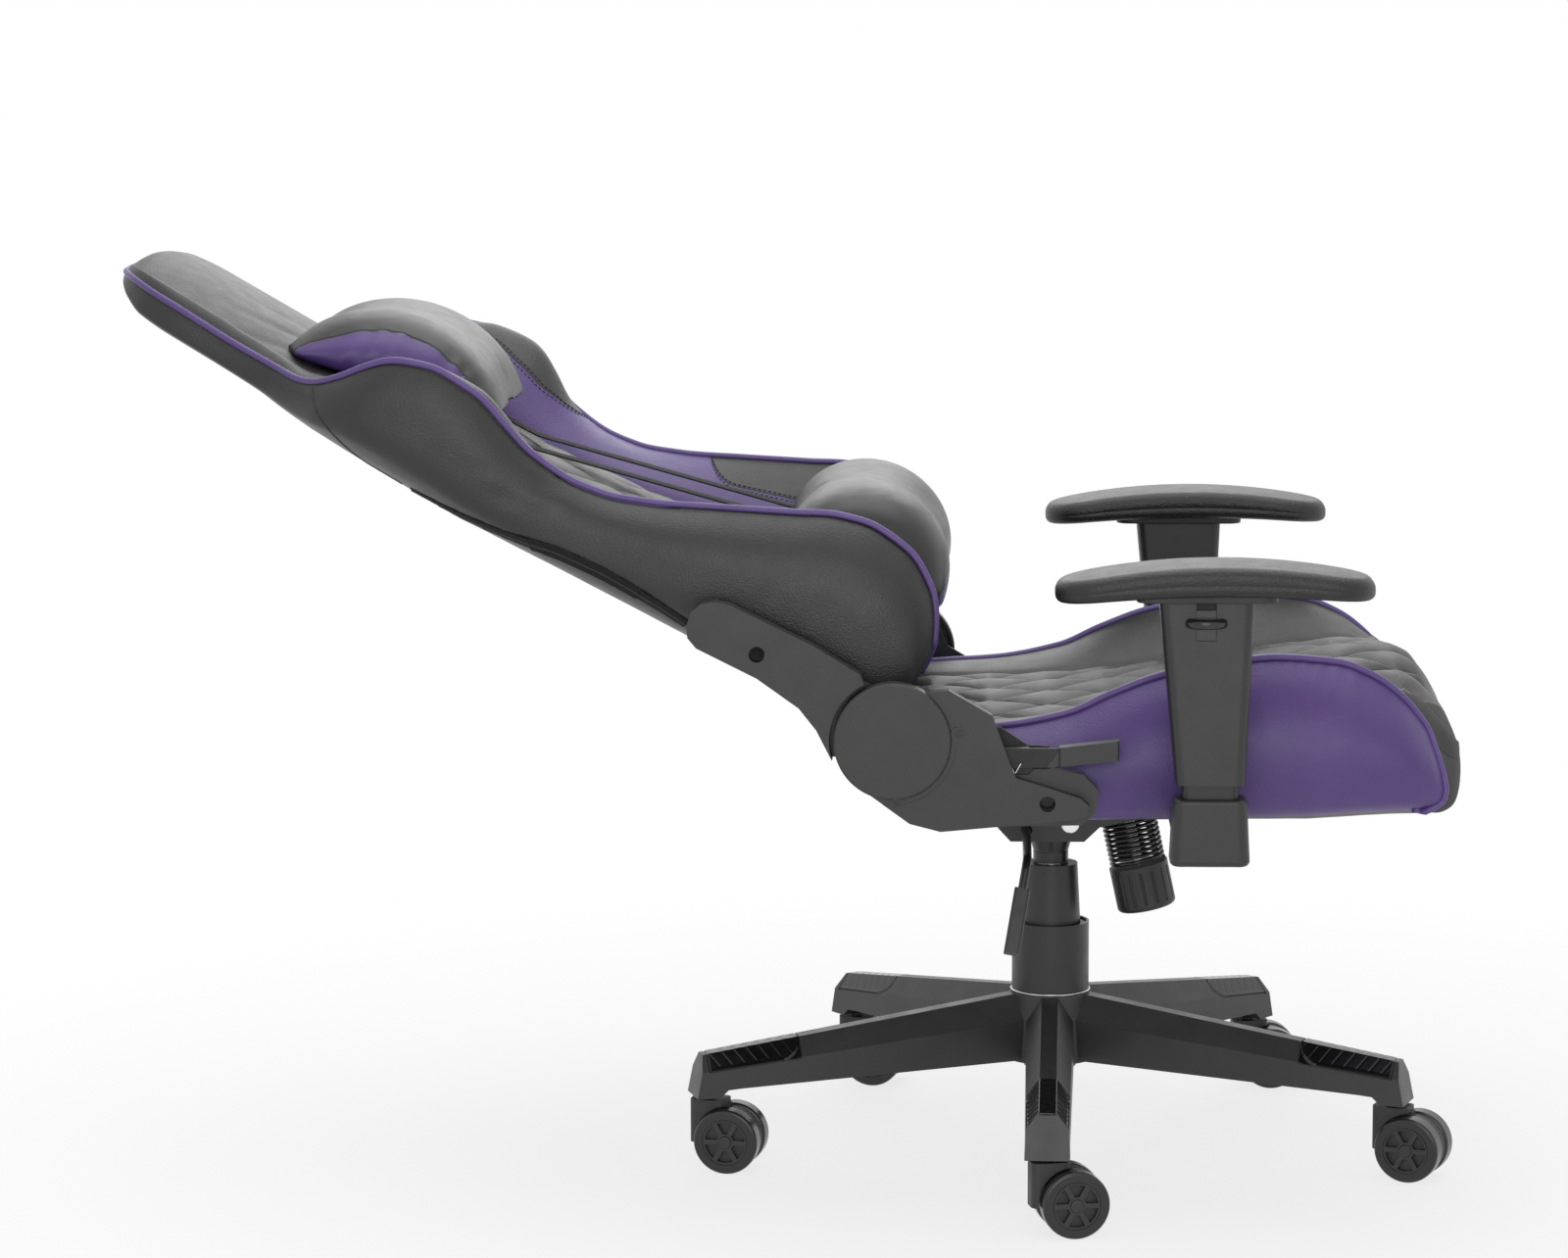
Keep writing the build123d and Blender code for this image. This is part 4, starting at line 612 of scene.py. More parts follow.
ZIP_WIDE, ZIP_THICK = 13.0, 1.4
zip_u = np.arange(206, 478, 3.0)
zip_w = smooth_table(zip_line, zip_u)[:, 0]
zip_columns = side_column(zip_u, zip_w)
zip_path = back_line(zip_u, zip_columns, 0.2)
zip_out = back_line(zip_u, zip_columns, 1.2) - zip_path
for side, flip in (("left", 1.0), ("right", -1.0)):
    turn = np.array([1.0, flip, 1.0])
    tape = ribbon("zip_tape_" + side, zip_path * turn, zip_out * turn, ZIP_WIDE, ZIP_THICK, strap_web)
    teeth = tube("zip_line_" + side, even(zip_path * turn + zip_out * turn * 0.5, 3.0), 1.0, thread_dark, 8)
    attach(tape, "back")
    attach(teeth, "back")


# Seat: one cover over the centre, the two bolsters and the nose
# (x, foot z, crown, seam z, piping z, piping y, side y, foot y, seam y)

SEAT = (
    (-148, 380, 420, 417, 420, 210, 240, 228, 146),
    (-142, 373, 426, 423, 427, 216, 250, 236, 150),
    (-100, 355, 429, 426, 430, 218, 256, 239, 150),
    (-51, 348, 431, 427, 433, 220, 260, 240, 150),
    (11, 349, 436, 430, 445, 222, 262, 240, 150),
    (51, 350, 441, 433, 463, 222, 262, 240, 150),
    (97, 351, 448, 438, 480, 222, 262, 240, 150),
    (150, 353, 457, 445, 490, 221, 262, 240, 150),
    (195, 354, 464, 451, 495, 220, 262, 240, 150),
    (248, 357, 472, 458, 491, 219, 261, 240, 150),
    (280, 359, 475, 461, 479, 217, 259, 239, 150),
    (307, 360, 473, 457, 459, 214, 256, 237, 150),
    (331, 360, 465, 446, 429, 208, 247, 230, 150),
    (345, 358, 449, 431, 407, 198, 231, 214, 149),
    (356, 359, 431, 416, 399, 180, 203, 190, 142),
    (364, 365, 415, 405, 394, 146, 160, 151, 120),
    (369, 375, 403, 397, 390, 106, 114, 108, 88),
    (371.5, 384, 394, 391, 388, 70, 75, 71, 58),
)
FRONT_PIPING = ((358, 318), (360, 327), (368, 342), (379, 345), (395, 342), (412, 336.5), (429, 331))
S_CENTRE, S_INNER, S_SIDE, S_FOOT = 54, 24, 40, 18
S_PIPE = S_CENTRE + S_INNER
SEAT_TIP, SEAT_END = (372.2, 0, 389), (-149, 0, 388)
SEAT_QUILT_X, SEAT_PUFF, SEAT_SUNK = -5, 7.5, 4.5
NOSE_X, NOSE_SWEEP, NOSE_HALF, NOSE_POWER = 358, 65, 214, 2.2
SEAT_SEAM_DEEP, NOSE_SEAM_DEEP, SIDE_GATHER = 3.2, 2.6, 1.1
SEAT_PLATE_Z = 347.5


def seat_half(x):
    foot, crown, seam_z, pipe_z, pipe_y, side_y, foot_y, seam_y = smooth_table(SEAT, x).T[:, :, None]
    t = (np.arange(S_CENTRE) / S_CENTRE)[None]
    y, z = [seam_y * t], [crown + (seam_z - crown) * t ** 2]
    t = (np.arange(S_INNER) / S_INNER)[None]
    rise = np.where(pipe_z > seam_z, 4.0, 7.0)
    y.append(through(seam_y, (seam_y + pipe_y) / 2, pipe_y, t))
    z.append(through(seam_z, (seam_z + pipe_z) / 2 + rise, pipe_z, t))
    t = (np.arange(S_SIDE) / S_SIDE)[None]
    y.append(through(pipe_y, side_y, foot_y, t))
    z.append(pipe_z + (foot - pipe_z) * t)
    t = (np.arange(S_FOOT + 1) / S_FOOT)[None]
    y.append(foot_y * (1 - t))
    z.append(foot - np.minimum(foot - SEAT_PLATE_Z, 8) * np.minimum(1, 6 * t) + 0 * y[-1])
    y, z = np.hstack(y), np.hstack(z)
    corner = S_PIPE + S_SIDE
    for _ in range(10):
        for line in (y, z):
            part = line[:, corner - 4:corner + 3]
            part[:, 1:-1] = (part[:, :-2] + 2 * part[:, 1:-1] + part[:, 2:]) / 4
    return y, z


def seat_side_point(x, z, out=0.0):
    """A point of the left side panel at given x and z, moved out by some mm."""
    foot, _, _, pipe_z, pipe_y, side_y, foot_y, _ = smooth_table(SEAT, x).T
    t = unit((pipe_z - z) / (pipe_z - foot))
    return np.stack([x, through(pipe_y, side_y, foot_y, t) + out, z], -1)


def make_seat():
    x = np.r_[-148, -146, -144, np.arange(-142, 330, 3.2), np.arange(330, 368, 1.6),
              np.arange(368, 371.6, 0.5)]
    y, z = seat_half(x)
    rows, half = y.shape
    xx = np.repeat(x[:, None], half, 1)
    column = np.arange(half)[None]
    seam, pipe, corner = S_CENTRE, S_PIPE, S_PIPE + S_SIDE
    puff, sewn = quilt(xx - SEAT_QUILT_X, y)
    seam_y = y[:, seam:seam + 1]
    inside = unit((seam_y - y) / 13) * (column < seam)
    nose_x = NOSE_X - NOSE_SWEEP * (np.abs(y) / NOSE_HALF) ** NOSE_POWER
    fade = unit((nose_x - 3 - xx) / 14) * unit((xx + 146) / 6)
    z += (SEAT_PUFF * puff - SEAT_SUNK) * inside * fade
    sewn = np.where((column < seam) & (fade > 0.5) & (inside > 0.3), sewn, 9.0)
    z -= SEAT_SEAM_DEEP * np.exp(-((column - seam) / 1.5) ** 2) * unit((nose_x - xx) / 10)
    # the smooth nose is sewn to the quilted top along a curve across the seat
    z -= NOSE_SEAM_DEEP * np.exp(-((xx - nose_x) / 2.6) ** 2) * (column < pipe - 1)
    # painted shade: the nose seam is darkened as a sewn line
    sewn = np.where(column < pipe - 1, np.minimum(sewn, np.abs(xx - nose_x)), sewn)
    top = z[:, pipe:pipe + 1]
    below = np.clip(top - z, 0, None)
    gather = np.sin(xx / 2.3 + 1.3 * np.sin(xx / 17)) * np.exp(-below / 16) * unit(below / 4)
    span = np.exp(-((xx - 232) / 52) ** 2)
    on_side = (column > pipe) & (column < corner)
    y += np.where(on_side, SIDE_GATHER * gather * span, 0)
    front = np.array([np.interp(row, *np.array(FRONT_PIPING).T) for row in z])
    matte = unit((xx - nose_x) / 4) * ((column < pipe) | (front < xx))
    edge = np.minimum(below, front - xx)
    edge = np.where(on_side | (column == corner), edge, -2.0 - np.abs(column - pipe))
    edge = np.where(column > corner, np.minimum(edge, -1.0 * (column - corner) + 3), edge)
    # painted shade: the leather just under the piping is darkened as the seam's crease
    edge = np.where(column == pipe, 0.2, edge)
    # the rear end is black
    edge[0] = -2.0
    loop_y = both(y, -1)
    loop_z = both(z)
    loop_x = np.repeat(x[:, None], loop_y.shape[1], 1)
    points = np.stack([loop_x, loop_y, loop_z], -1).reshape(-1, 3)
    cols = loop_y.shape[1]
    faces = grid_faces(rows, cols)
    faces += cap_faces(rows, cols, len(points) + 1, len(points))
    points = np.vstack([points, [SEAT_TIP, SEAT_END]])
    made = closed("seat_cover", points, faces, seat_leather)
    # where 'edge' or 'sewn' is near zero the material paints shade into the seams and quilting lines
    for name, values, last in (("edge", edge, -9.0), ("sewn", sewn, 9.0), ("matte", matte, 1.0)):
        give(made, name, np.r_[both(values).ravel(), last, last])
    return made


seat_cover = make_seat()
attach(seat_cover, "seat")
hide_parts("seat_cushion", "seat_bolster_left", "seat_bolster_right")

top_x = np.arange(-146, 332, 4.0)
top_y, top_z = seat_half(top_x)
top_run = np.stack([top_x, top_y[:, S_PIPE] + 0.4, top_z[:, S_PIPE] + 0.8], -1)
front_z = np.arange(426, 359, -3.0)
front_x = np.interp(front_z, *np.array(FRONT_PIPING).T)
front_run = seat_side_point(front_x, front_z, 0.8)
tail_run = seat_side_point(np.array([323.0, 317.0]), np.array([360.0, 362.0]), -6.0)
seat_pipe_path = even(np.vstack([top_run, front_run, tail_run]), 3.5)
for side, turn in (("left", 1.0), ("right", -1.0)):
    cord = tube("seat_piping_" + side, seat_pipe_path * (1, turn, 1), PIPE_R, piping_leather)
    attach(cord, "seat")


# Pillows: copies of their solids, remeshed and blown up as cloth, with sewn edges and panels

VOXEL = 0.0045
PRESSURE, CLOTH_MASS, STIFFNESS, BENDING, CLOTH_STEPS = 4.0, 0.2, 12, 0.4, 20
HEAD_SWELL, LUMBAR_SWELL = 2.5, 3.0


def inflate(name, node, cap):
    """A cloth copy of a node, swollen by inner pressure; no point moves more than cap mm."""
    source = nodes[node]
    mesh = source.data.copy()
    made = bpy.data.objects.new(name, mesh)
    scene.collection.objects.link(made)
    mesh.materials.clear()
    remesh = made.modifiers.new("remesh", "REMESH")
    remesh.mode = "VOXEL"
    remesh.voxel_size = VOXEL
    graph = bpy.context.evaluated_depsgraph_get()
    made.data = bpy.data.meshes.new_from_object(made.evaluated_get(graph))
    made.modifiers.clear()
    count = len(made.data.vertices)
    before = np.empty(count * 3)
    made.data.vertices.foreach_get("co", before)
    before = before.reshape(-1, 3)
    after = before
    cloth = made.modifiers.new("cloth", "CLOTH")
    cloth.settings.use_pressure = True
    cloth.settings.uniform_pressure_force = PRESSURE
    cloth.settings.mass = CLOTH_MASS
    cloth.settings.tension_stiffness = STIFFNESS
    cloth.settings.compression_stiffness = STIFFNESS
    cloth.settings.bending_stiffness = BENDING
    cloth.settings.effector_weights.gravity = 0.0
    for step in range(1, CLOTH_STEPS + 1):
        scene.frame_set(step)
    graph = bpy.context.evaluated_depsgraph_get()
    swollen = bpy.data.meshes.new_from_object(made.evaluated_get(graph))
    after = np.empty(count * 3)
    swollen.vertices.foreach_get("co", after)
    after = after.reshape(-1, 3)
    made.modifiers.clear()
    bpy.data.meshes.remove(swollen)
    scene.frame_set(1)
    move = after - before
    far = np.linalg.norm(move, axis=1)
    move *= np.minimum(1, cap / 1000 / np.maximum(far, 1e-9))[:, None]
    # the side that lies on the back rest keeps its place
    ahead = np.array((sin(RECLINE), 0, cos(RECLINE)))
    along = move @ ahead
    move -= np.minimum(along, 0)[:, None] * ahead
    made.data.vertices.foreach_set("co", (before + move).ravel())
    made.data.polygons.foreach_set("use_smooth", [True] * len(made.data.polygons))
    made.data.update()
    return made, (before + move) * 1000


def back_coordinates(points):
    x, z = points[:, 0] - PIVOT_X, points[:, 2] - PIVOT_Z
    u = -cos(RECLINE) * x + sin(RECLINE) * z
    w = sin(RECLINE) * x + cos(RECLINE) * z
    return u, points[:, 1], w


def soften(obj, times):
    shrink = obj.modifiers.new("soften", "SMOOTH")
    shrink.factor = 0.5
    shrink.iterations = times
    finer = obj.modifiers.new("finer", "SUBSURF")
    finer.levels = 1
    finer.render_levels = 1


pillow_leather = two_tone("pillow_leather", 0.0010, 0.0001, 0.36)
head_pillow, head_points = inflate("head_pillow_soft", "head_pillow", HEAD_SWELL)
u, v, w = back_coordinates(head_points)
# its ends hang lower towards the head and gather along their sewn edge
w -= 6.5 * unit((np.abs(v) - 80) / 50) * unit((u - 520) / 70)
v -= np.sign(v) * unit((np.abs(v) - 112) / 14) * (1 + np.sin(u / 3.7 + 2 * np.sin(u / 13)))
head_pillow.data.vertices.foreach_set("co", (back_point(u, v, w) / 1000).ravel())
tip_line = np.interp(u, (462, 560, 630), (46, 20, 0))
end_line = np.abs(v) - 130 + 8 * np.exp(-((u - 568) / 48) ** 2)
panel = np.minimum(np.minimum(end_line, w - tip_line - 1), u - 486)
head_pillow.data.materials.append(pillow_leather)
# painted shade: the ends' sewn edge and the purple panel's boundary are darkened as creases
give(head_pillow, "edge", panel)
give(head_pillow, "sewn", np.where(np.abs(v) > 96, w - tip_line, 9.0))
soften(head_pillow, 3)
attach(head_pillow, "back")
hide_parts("head_pillow")

lumbar_pillow, lumbar_points = inflate("lumbar_pillow_soft", "lumbar_pillow", LUMBAR_SWELL)
u, v, w = back_coordinates(lumbar_points)
strip = np.where(w > 104, np.minimum(u - 9, 21 - u), -5.0)
lumbar_pillow.data.materials.append(pillow_leather)
# painted shade: the purple strip's edges are darkened as creases
give(lumbar_pillow, "edge", strip)
give(lumbar_pillow, "sewn", np.full(len(u), 9.0))
soften(lumbar_pillow, 3)
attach(lumbar_pillow, "back")
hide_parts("lumbar_pillow")

strap_run = np.array([(166, 95.8), (410, 31.4), (486, 28.3)])
strap_u = np.arange(166, 485, 6.0)
strap_w = np.interp(strap_u, *strap_run.T)
STRAP_Y, STRAP_WIDE, STRAP_THICK = 55.0, 25.0, 1.5
for side in (-1, 1):
    path = back_point(strap_u, side * STRAP_Y, strap_w)
    up = np.broadcast_to((sin(RECLINE), 0.0, cos(RECLINE)), path.shape)
    strap = ribbon("pillow_strap_" + ("left" if side > 0 else "right"), path, up,
                   STRAP_WIDE, STRAP_THICK, strap_web)
    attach(strap, "back")
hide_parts("pillow_straps")


# Armrest pads: moulded skin with a seam line round the middle, on a plate

PAD_X, PAD_Y = 136.0, 309.0
PAD_LONG, PAD_WIDE, PAD_CORNER, PAD_POINTS = 276.0, 94.0, 40.0, 132
PAD_TOP, PAD_FOOT, PAD_ARC_HALF, PAD_CROWN = (573, 592, 576), (555, 565, 558), 148, 2.0
PAD_ROUND_TOP, PAD_ROUND_FOOT, PAD_SEAM = 9.0, 7.0, 0.42
PLATE_LONG, PLATE_WIDE, PLATE_CORNER, PLATE_LOW, PLATE_HIGH = 122, 60, 12, 558.2, 570.0


def rounded_plan(long, wide, corner, count):
    """Points round a rectangle with round corners, about its middle."""
    turns = np.arange(count) * 2 * pi / count
    ring = []
    for a in turns:
        x, y = cos(a), sin(a)
        reach = min(long / 2 / max(abs(x), 1e-9), wide / 2 / max(abs(y), 1e-9))
        px, py = x * reach, y * reach
        cx, cy = long / 2 - corner, wide / 2 - corner
        if abs(px) > cx and abs(py) > cy:
            mx, my = np.copysign(cx, px), np.copysign(cy, py)
            b = x * mx + y * my
            reach = b + np.sqrt(max(b * b - (mx * mx + my * my) + corner * corner, 0))
            px, py = x * reach, y * reach
        ring.append((px, py))
    return np.array(ring)


def arc_height(x, end_a, middle, end_b, half):
    """Height of a shallow arch over a span, by a parabola through three heights."""
    t = x / half
    mean = (end_a + end_b) / 2
    return middle + (end_b - end_a) / 2 * t + (mean - middle) * t * t


def make_pad(name, side):
    def inset(by):
        return rounded_plan(PAD_LONG - 2 * by, PAD_WIDE - 2 * by, PAD_CORNER - by, PAD_POINTS)

    def top(ring):
        crown = PAD_CROWN * (2 * ring[:, 1] / PAD_WIDE) ** 2
        return arc_height(ring[:, 0], *PAD_TOP, PAD_ARC_HALF) - crown

    def foot(ring):
        return arc_height(ring[:, 0], *PAD_FOOT, PAD_ARC_HALF)

    rings = []
    for share in np.linspace(0.08, 0.94, 12):
        ring = inset(PAD_ROUND_TOP) * share
        rings.append(np.column_stack([ring, top(ring)]))
    for a in np.linspace(0, pi / 2, 9):
        ring = inset(PAD_ROUND_TOP * (1 - sin(a)))
        rings.append(np.column_stack([ring, top(ring) - PAD_ROUND_TOP * (1 - cos(a))]))
    # the two halves of the skin meet in a fine groove
    for by, off in ((0.0, 0.5), (0.35, 0.0), (0.0, -0.5)):
        ring = inset(by)
        rings.append(np.column_stack([ring, foot(ring) * (1 - PAD_SEAM) + top(ring) * PAD_SEAM + off]))
    for a in np.linspace(pi / 2, 0, 8):
        ring = inset(PAD_ROUND_FOOT * (1 - sin(a)))
        rings.append(np.column_stack([ring, foot(ring) + PAD_ROUND_FOOT * (1 - cos(a))]))
    for share in np.linspace(0.94, 0.08, 12):
        ring = inset(PAD_ROUND_FOOT) * share
        rings.append(np.column_stack([ring, foot(ring)]))
    points = np.vstack(rings)
    points[:, 0] += PAD_X
    points[:, 1] = side * (PAD_Y + points[:, 1])
    faces = grid_faces(len(rings), PAD_POINTS)
    points = np.vstack([points, [(PAD_X, side * PAD_Y, PAD_TOP[1]), (PAD_X, side * PAD_Y, PAD_FOOT[1])]])
    faces += cap_faces(len(rings), PAD_POINTS, len(points) - 2, len(points) - 1)
    return closed(name, points, faces, pad_skin)


def slab(name, plan, low, high, round_off, material):
    """A flat plate with rounded edges above a plan outline, at absolute x and y."""
    middle = plan.mean(0)
    away = plan - middle
    away = away / np.linalg.norm(away, axis=1)[:, None]
    rings = []
    for a in np.linspace(0, pi / 2, 5):
        rings.append((round_off * (1 - sin(a)), low + round_off * (1 - cos(a))))
    for a in np.linspace(pi / 2, 0, 5):
        rings.append((round_off * (1 - sin(a)), high - round_off * (1 - cos(a))))
    points = [np.column_stack([plan - away * inset, np.full(len(plan), z)]) for inset, z in rings]
    points = np.vstack([*points, [(*middle, low), (*middle, high)]])
    count = len(plan)
    faces = grid_faces(len(rings), count)
    faces += cap_faces(len(rings), count, len(points) - 2, len(points) - 1)
    return closed(name, points, faces, material)


for side, sign in (("left", 1), ("right", -1)):
    pad = make_pad("pad_" + side, sign)
    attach(pad, "arm_" + side)
    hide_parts("armrest_pad_" + side)
    plan = rounded_plan(PLATE_LONG, PLATE_WIDE, PLATE_CORNER, 96) + (PAD_X - 7, sign * PAD_Y)
    pad_plate = slab("pad_plate_" + side, plan, PLATE_LOW, PLATE_HIGH, 1.2, grip_plastic)
    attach(pad_plate, "arm_" + side)


# Base inlays: gloss strips over the ridge, with chevron grooves and a raised lower edge

RIDGE_TIP, RIDGE_SLOPE, RIDGE_END, RIDGE_RUN = 107.0, 0.1356, 344.0, 324.0
INLAY_FROM, INLAY_TO, INLAY_FLAT, INLAY_SHARE = 246.2, 333.8, 7.5, 0.4
CHEVRON_PITCH, CHEVRON_LEAN, FIRST_ARM = 11.5, 0.9, -91.2
# degrees that each caster is turned about its stem
CASTERS = {"right": 12.0, "front_right": -22.0, "front_left": 6.0, "rear_left": -14.0, "rear_right": -11.0}


def make_inlays():
    points, faces = [], []
    r = np.linspace(INLAY_FROM, INLAY_TO, 148)
    s = np.linspace(-1, 1, 71)
    rr, ss = np.meshgrid(r, s, indexing="ij")
    inward = (RIDGE_END - rr) / RIDGE_RUN
    half = 19.0 + 3.0 * inward - 0.3
    slope = unit((np.abs(ss) - INLAY_SHARE) / (1 - INLAY_SHARE))
    yy = np.where(np.abs(ss) < INLAY_SHARE, ss / INLAY_SHARE * INLAY_FLAT,
                  np.sign(ss) * (INLAY_FLAT + slope * (half - INLAY_FLAT)))
    zz = RIDGE_TIP + RIDGE_SLOPE * (RIDGE_END - rr) - slope * (14.0 + 10.0 * inward)
    groove = np.abs(((rr + CHEVRON_LEAN * np.abs(yy)) / CHEVRON_PITCH) % 1.0 - 0.5) * CHEVRON_PITCH
    rim = unit(np.minimum(rr - INLAY_FROM - 16 * slope ** 3, INLAY_TO - rr) / 1.2)
    frame_edge = unit((slope - 0.84) / 0.06)
    zz += (0.4 * frame_edge - 0.3 * np.exp(-(groove / 0.6) ** 2) * (1 - frame_edge)) * rim
    zz += 0.25 - 1.5 * (1 - rim)
    for index in range(5):
        turn = radians(FIRST_ARM + 72 * index)
        x, y = rr * cos(turn) - yy * sin(turn), rr * sin(turn) + yy * cos(turn)
        faces += grid_faces(len(r), len(s), False, len(points))
        points += np.stack([x, y, zz], -1).reshape(-1, 3).tolist()
    return closed("inlay_strips", points, faces, gloss_plastic)


inlays = make_inlays()
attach(inlays, "base")
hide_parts("base_inlays")


# The imported solids that stay: finishes, and rounded edges that catch the light

# where the recline lever's catch begins, the armrest slots' floor and place, and the reach of the wheel hubs'
# groove
CATCH_FRONT_X, SLOT_FLOOR_Y, SLOT_X, HUB_GROOVE_R = -0.009, 0.325, 0.128, 0.0225


def dress(node, material, bevel=0.0):
    solid = nodes[node]
    solid.data.materials.clear()
    solid.data.materials.append(material)
    if bevel:
        edge = solid.modifiers.new("edges", "BEVEL")
        edge.width = bevel / 1000
        edge.segments = 2
        edge.limit_method = "ANGLE"
        edge.angle_limit = radians(38)
        edge.harden_normals = True


FINISHES = (
    (base_plastic, 1.8, "star_base"),
    (black_steel, 0.0, "stand_tube"),
    (bright_steel, 0.0, "thrust_bearing"),
    (column_plastic, 0.4, "dust_cover_lower", "dust_cover_middle", "dust_cover_upper"),
    (cover_plastic, 1.5, "hinge_seat_covers", "hinge_back_covers"),
    (cover_plastic, 0.8, "armrest_cups"),
    (black_steel, 0.4, "mechanism_housing", "mechanism_seat_plate", "lift_lever", "seat_frame",
     "seat_fasteners", "recliner_seat_brackets", "recliner_back_brackets", "back_frame",
     "armrest_brackets"),
    # painted shade: the screw heads deep in the back's holes are dressed near black so the holes read dark
    (black_and_recess_shade, 0.4, "back_screws", "recline_lever"),
    (bright_steel, 0.3, "piston_rod", "gas_cylinder", "valve_button", "tilt_pin", "tension_bolt"),
    (grip_plastic, 0.6, "tension_knob", "lift_lever_grip", "recline_lever_grip"),
    (cover_plastic, 1.2, "armrest_sleeve_left", "armrest_sleeve_right"),
    (tread_plastic, 0.3, "armrest_trigger_left", "armrest_trigger_right"),
)
for material, bevel, *names in FINISHES:
    for node in names:
        dress(node, material, bevel)

# the tension spring: a copy of its solid in spring steel, on the lift body
spring_coil = bpy.data.objects.new("spring_coil", nodes["tension_spring"].data.copy())
scene.collection.objects.link(spring_coil)
spring_coil.data.materials.clear()
spring_coil.data.materials.append(spring_steel)
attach(spring_coil, "lift")
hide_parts("tension_spring")
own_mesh(spring_coil)


def face_centres(solid):
    centre = np.empty(len(solid.data.polygons) * 3)
    solid.data.polygons.foreach_get("center", centre)
    return centre.reshape(-1, 3)


lever = nodes["recline_lever"]
lever.data.materials.append(cover_plastic)
ahead_of_catch = face_centres(lever)[:, 0] > CATCH_FRONT_X
lever.data.polygons.foreach_set("material_index", ahead_of_catch.astype(np.int32))
# painted shade: the floor of each armrest slot is dressed near black, as a deep recess is shaded
for side in ("left", "right"):
    sleeve = nodes["armrest_sleeve_" + side]
    sleeve.data.materials.append(black_and_recess_shade)
    x, y, z = face_centres(sleeve).T
    shaded_slot_floor = np.abs(np.abs(y) - SLOT_FLOOR_Y) < 0.0003
    shaded_slot_floor &= (np.abs(x - SLOT_X) < 0.01) & (z > 0.52)
    sleeve.data.polygons.foreach_set("material_index", shaded_slot_floor.astype(np.int32))


def dress_wheel(node, turn):
    """Gloss on the tread and outer ring, matte inside the hub's groove."""
    wheel = nodes[node]
    dress(node, tread_plastic, 0.4)
    wheel.data.materials.append(hub_plastic)
    low, high = (np.array(corner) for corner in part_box(node))
    axis = np.array((-sin(radians(turn)), cos(radians(turn)), 0.0))
    off = face_centres(wheel) - (low + high) / 2
    off -= (off @ axis)[:, None] * axis
    hub = np.linalg.norm(off, axis=1) < HUB_GROOVE_R
    wheel.data.polygons.foreach_set("material_index", hub.astype(np.int32))


for name, turn in CASTERS.items():
    dress("caster_fork_" + name, hub_plastic, 0.6)
    for half in "ab":
        dress_wheel("caster_wheel_" + half + "_" + name, turn)


# Small parts seen by the recline lever and at the column's foot

def plate(name, outline, y_from, y_to, material):
    """A flat plate over an outline of (x, z) points, between two places along Y."""
    count = len(outline)
    points = [(x, y, z) for y in (y_from, y_to) for x, z in outline]
    faces = [tuple(range(count)), tuple(range(2 * count - 1, count - 1, -1))]
    faces += [(k, (k + 1) % count, count + (k + 1) % count, count + k) for k in range(count)]
    made = closed(name, points, faces, material, smooth=False)
    edge = made.modifiers.new("edges", "BEVEL")
    edge.width = 0.0006
    edge.segments = 2
    return made


PLATE_LINE = [(-78, 440), (-49, 441), (-25, 425), (-6, 424), (-5, 405), (-78, 405)]
CATCH_LINE = [(-62, 424), (-24, 424), (-20, 421), (-20, 404), (-24, 400), (-62, 400)]
FOOT_RING_R, FOOT_RING_Z = 36.6, 151.2
recliner_plate = plate("recliner_plate", PLATE_LINE, -274.0, -271.0, black_and_recess_shade)
catch_block = plate("recline_catch", CATCH_LINE, -284.0, -276.0, black_and_recess_shade)
wire_path = even([(-42, -286, 413), (-36, -292.4, 402), (-31, -292.6, 411), (-28, -285, 412)], 1.0)
catch_spring = tube("recline_catch_spring", wire_path, 0.6, bright_steel, 8)
for made in (recliner_plate, catch_block, catch_spring):
    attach(made, "seat")

turns = np.arange(97) * 2 * pi / 96
ring_path = np.column_stack([FOOT_RING_R * np.cos(turns), FOOT_RING_R * np.sin(turns),
                             np.full(97, FOOT_RING_Z)])
foot_ring = tube("column_foot_ring", ring_path, 0.9, bright_steel, 8)
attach(foot_ring, "base")


# Studio: pale floor, even light from all round with a broad light above, and the photo's camera

LAMPS = (("top", (0.1, 0.1, 2.9), 2.4, 26.0), ("back", (-0.1, 2.5, 2.3), 2.6, 22.0),
         ("key", (0.0, -3.4, 1.2), 2.2, 26.0))


LAMP_AIM = (0.0, 0.0, 0.45)
ROOM_LIGHT, FLOOR_WHITE, FLOOR_FADE, FLOOR_R = 0.32, (0.78, 1.0), (0.45, 1.3), 9000
PHOTO_WIDE, FOCAL_PIXELS, SENSOR = 1600, 5004.2, 36.0
EYE, EYE_WAY, EYE_ROLL = (-0.0692, -4.5263, 1.0966), (-0.03937, 0.99038, -0.13266), 0.003


def backdrop_rays(tree):
    """One for the rays that see the backdrop white: camera, glossy and transmission."""
    path = tree.nodes.new("ShaderNodeLightPath")
    seen = path.outputs["Is Camera Ray"]
    for ray in ("Is Glossy Ray", "Is Transmission Ray"):
        most = tree.nodes.new("ShaderNodeMath")
        most.operation = "MAXIMUM"
        tree.links.new(seen, most.inputs[0])
        tree.links.new(path.outputs[ray], most.inputs[1])
        seen = most.outputs[0]
    return seen


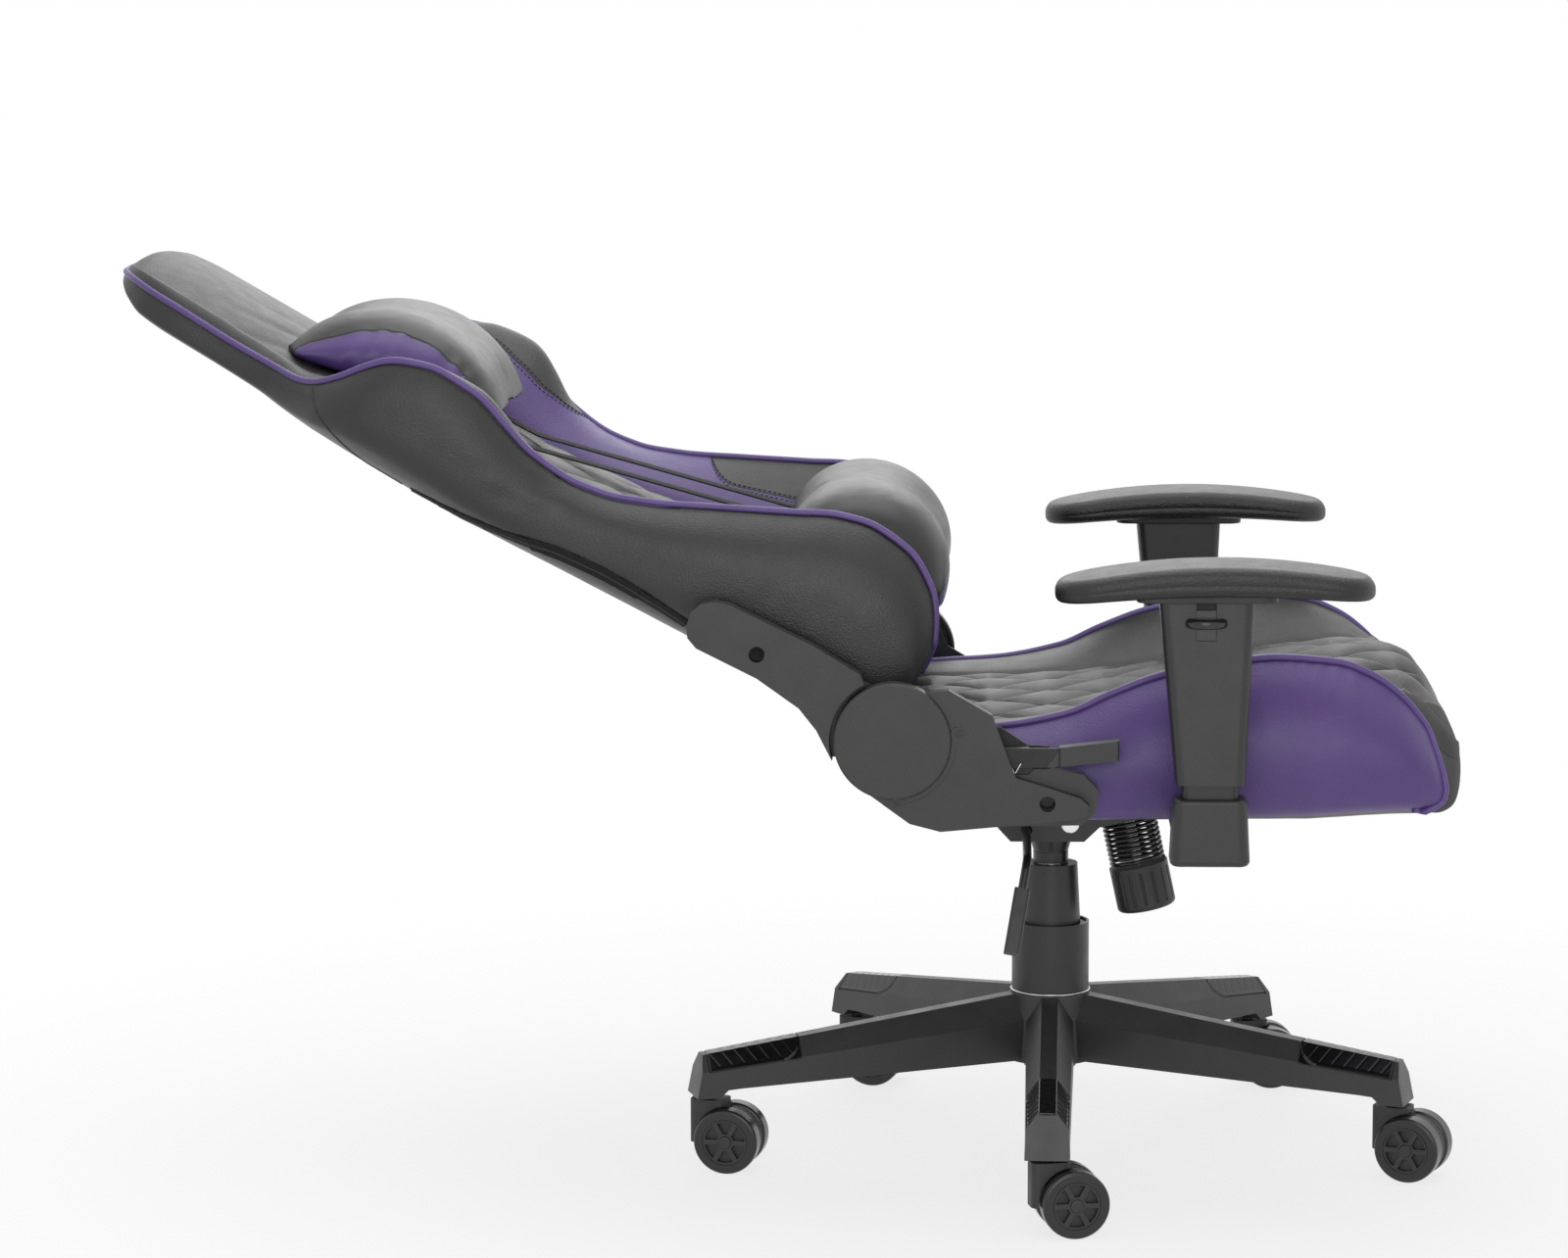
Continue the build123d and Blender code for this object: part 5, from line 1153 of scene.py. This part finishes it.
def studio():
    m = Maker("floor_paint")
    blotch = m.noise(1.5, 2.0)
    m.set(base_color=m.blend(blotch, (0.93, 0.93, 0.93), (0.95, 0.95, 0.95)), roughness=0.9)
    m.shader.inputs["Specular IOR Level"].default_value = 0.1
    white = m.node("ShaderNodeEmission")
    white.inputs["Strength"].default_value = 1.0
    reach = m.node("ShaderNodeVectorMath", operation="LENGTH")
    m.feed(reach.inputs[0], m.spot)
    fade = m.span(reach.outputs["Value"], *FLOOR_FADE, *FLOOR_WHITE)
    mix = m.node("ShaderNodeMixShader")
    m.feed(mix.inputs[0], m.math("MULTIPLY", backdrop_rays(m.tree), fade))
    m.feed(mix.inputs[1], m.shader.outputs[0])
    m.feed(mix.inputs[2], white.outputs[0])
    m.feed(m.tree.nodes["Material Output"].inputs["Surface"], mix.outputs[0])
    turns = np.arange(96) * 2 * pi / 96
    ring = np.column_stack([np.cos(turns), np.sin(turns), np.zeros(96)]) * FLOOR_R
    floor = piece("floor", np.vstack([ring, [(0, 0, 0)]]),
                  [(96, k, (k + 1) % 96) for k in range(96)], m.material)

    world = bpy.data.worlds.new("studio")
    scene.world = world
    world.use_nodes = True
    tree = world.node_tree
    sky = tree.nodes["Background"]
    level = tree.nodes.new("ShaderNodeMapRange")
    tree.links.new(backdrop_rays(tree), level.inputs["Value"])
    level.inputs["To Min"].default_value = ROOM_LIGHT
    level.inputs["To Max"].default_value = 1.0
    tree.links.new(level.outputs["Result"], sky.inputs["Strength"])
    sky.inputs["Color"].default_value = (1, 1, 1, 1)

    for name, spot, size, power in LAMPS:
        lamp = bpy.data.lights.new(name, "AREA")
        lamp.shape = "DISK"
        lamp.size = size
        lamp.energy = power
        holder = bpy.data.objects.new(name, lamp)
        scene.collection.objects.link(holder)
        holder.location = spot
        aim = Vector(LAMP_AIM) - Vector(spot)
        holder.rotation_euler = aim.to_track_quat("-Z", "Y").to_euler()

    eye = bpy.data.cameras.new("camera")
    eye.sensor_width = SENSOR
    eye.sensor_fit = "HORIZONTAL"
    eye.lens = FOCAL_PIXELS / PHOTO_WIDE * SENSOR
    eye.clip_end = 60
    holder = bpy.data.objects.new("camera", eye)
    scene.collection.objects.link(holder)
    ahead = Vector(EYE_WAY).normalized()
    right = ahead.cross(Vector((0, 0, 1))).normalized()
    up = right.cross(ahead)
    across, tall = cos(EYE_ROLL), sin(EYE_ROLL)
    right, up = right * across - up * tall, up * across + right * tall
    turn = Matrix((right, up, -ahead)).transposed().to_4x4()
    holder.matrix_world = Matrix.Translation(EYE) @ turn
    scene.camera = holder


studio()
scene.view_settings.view_transform = "Standard"
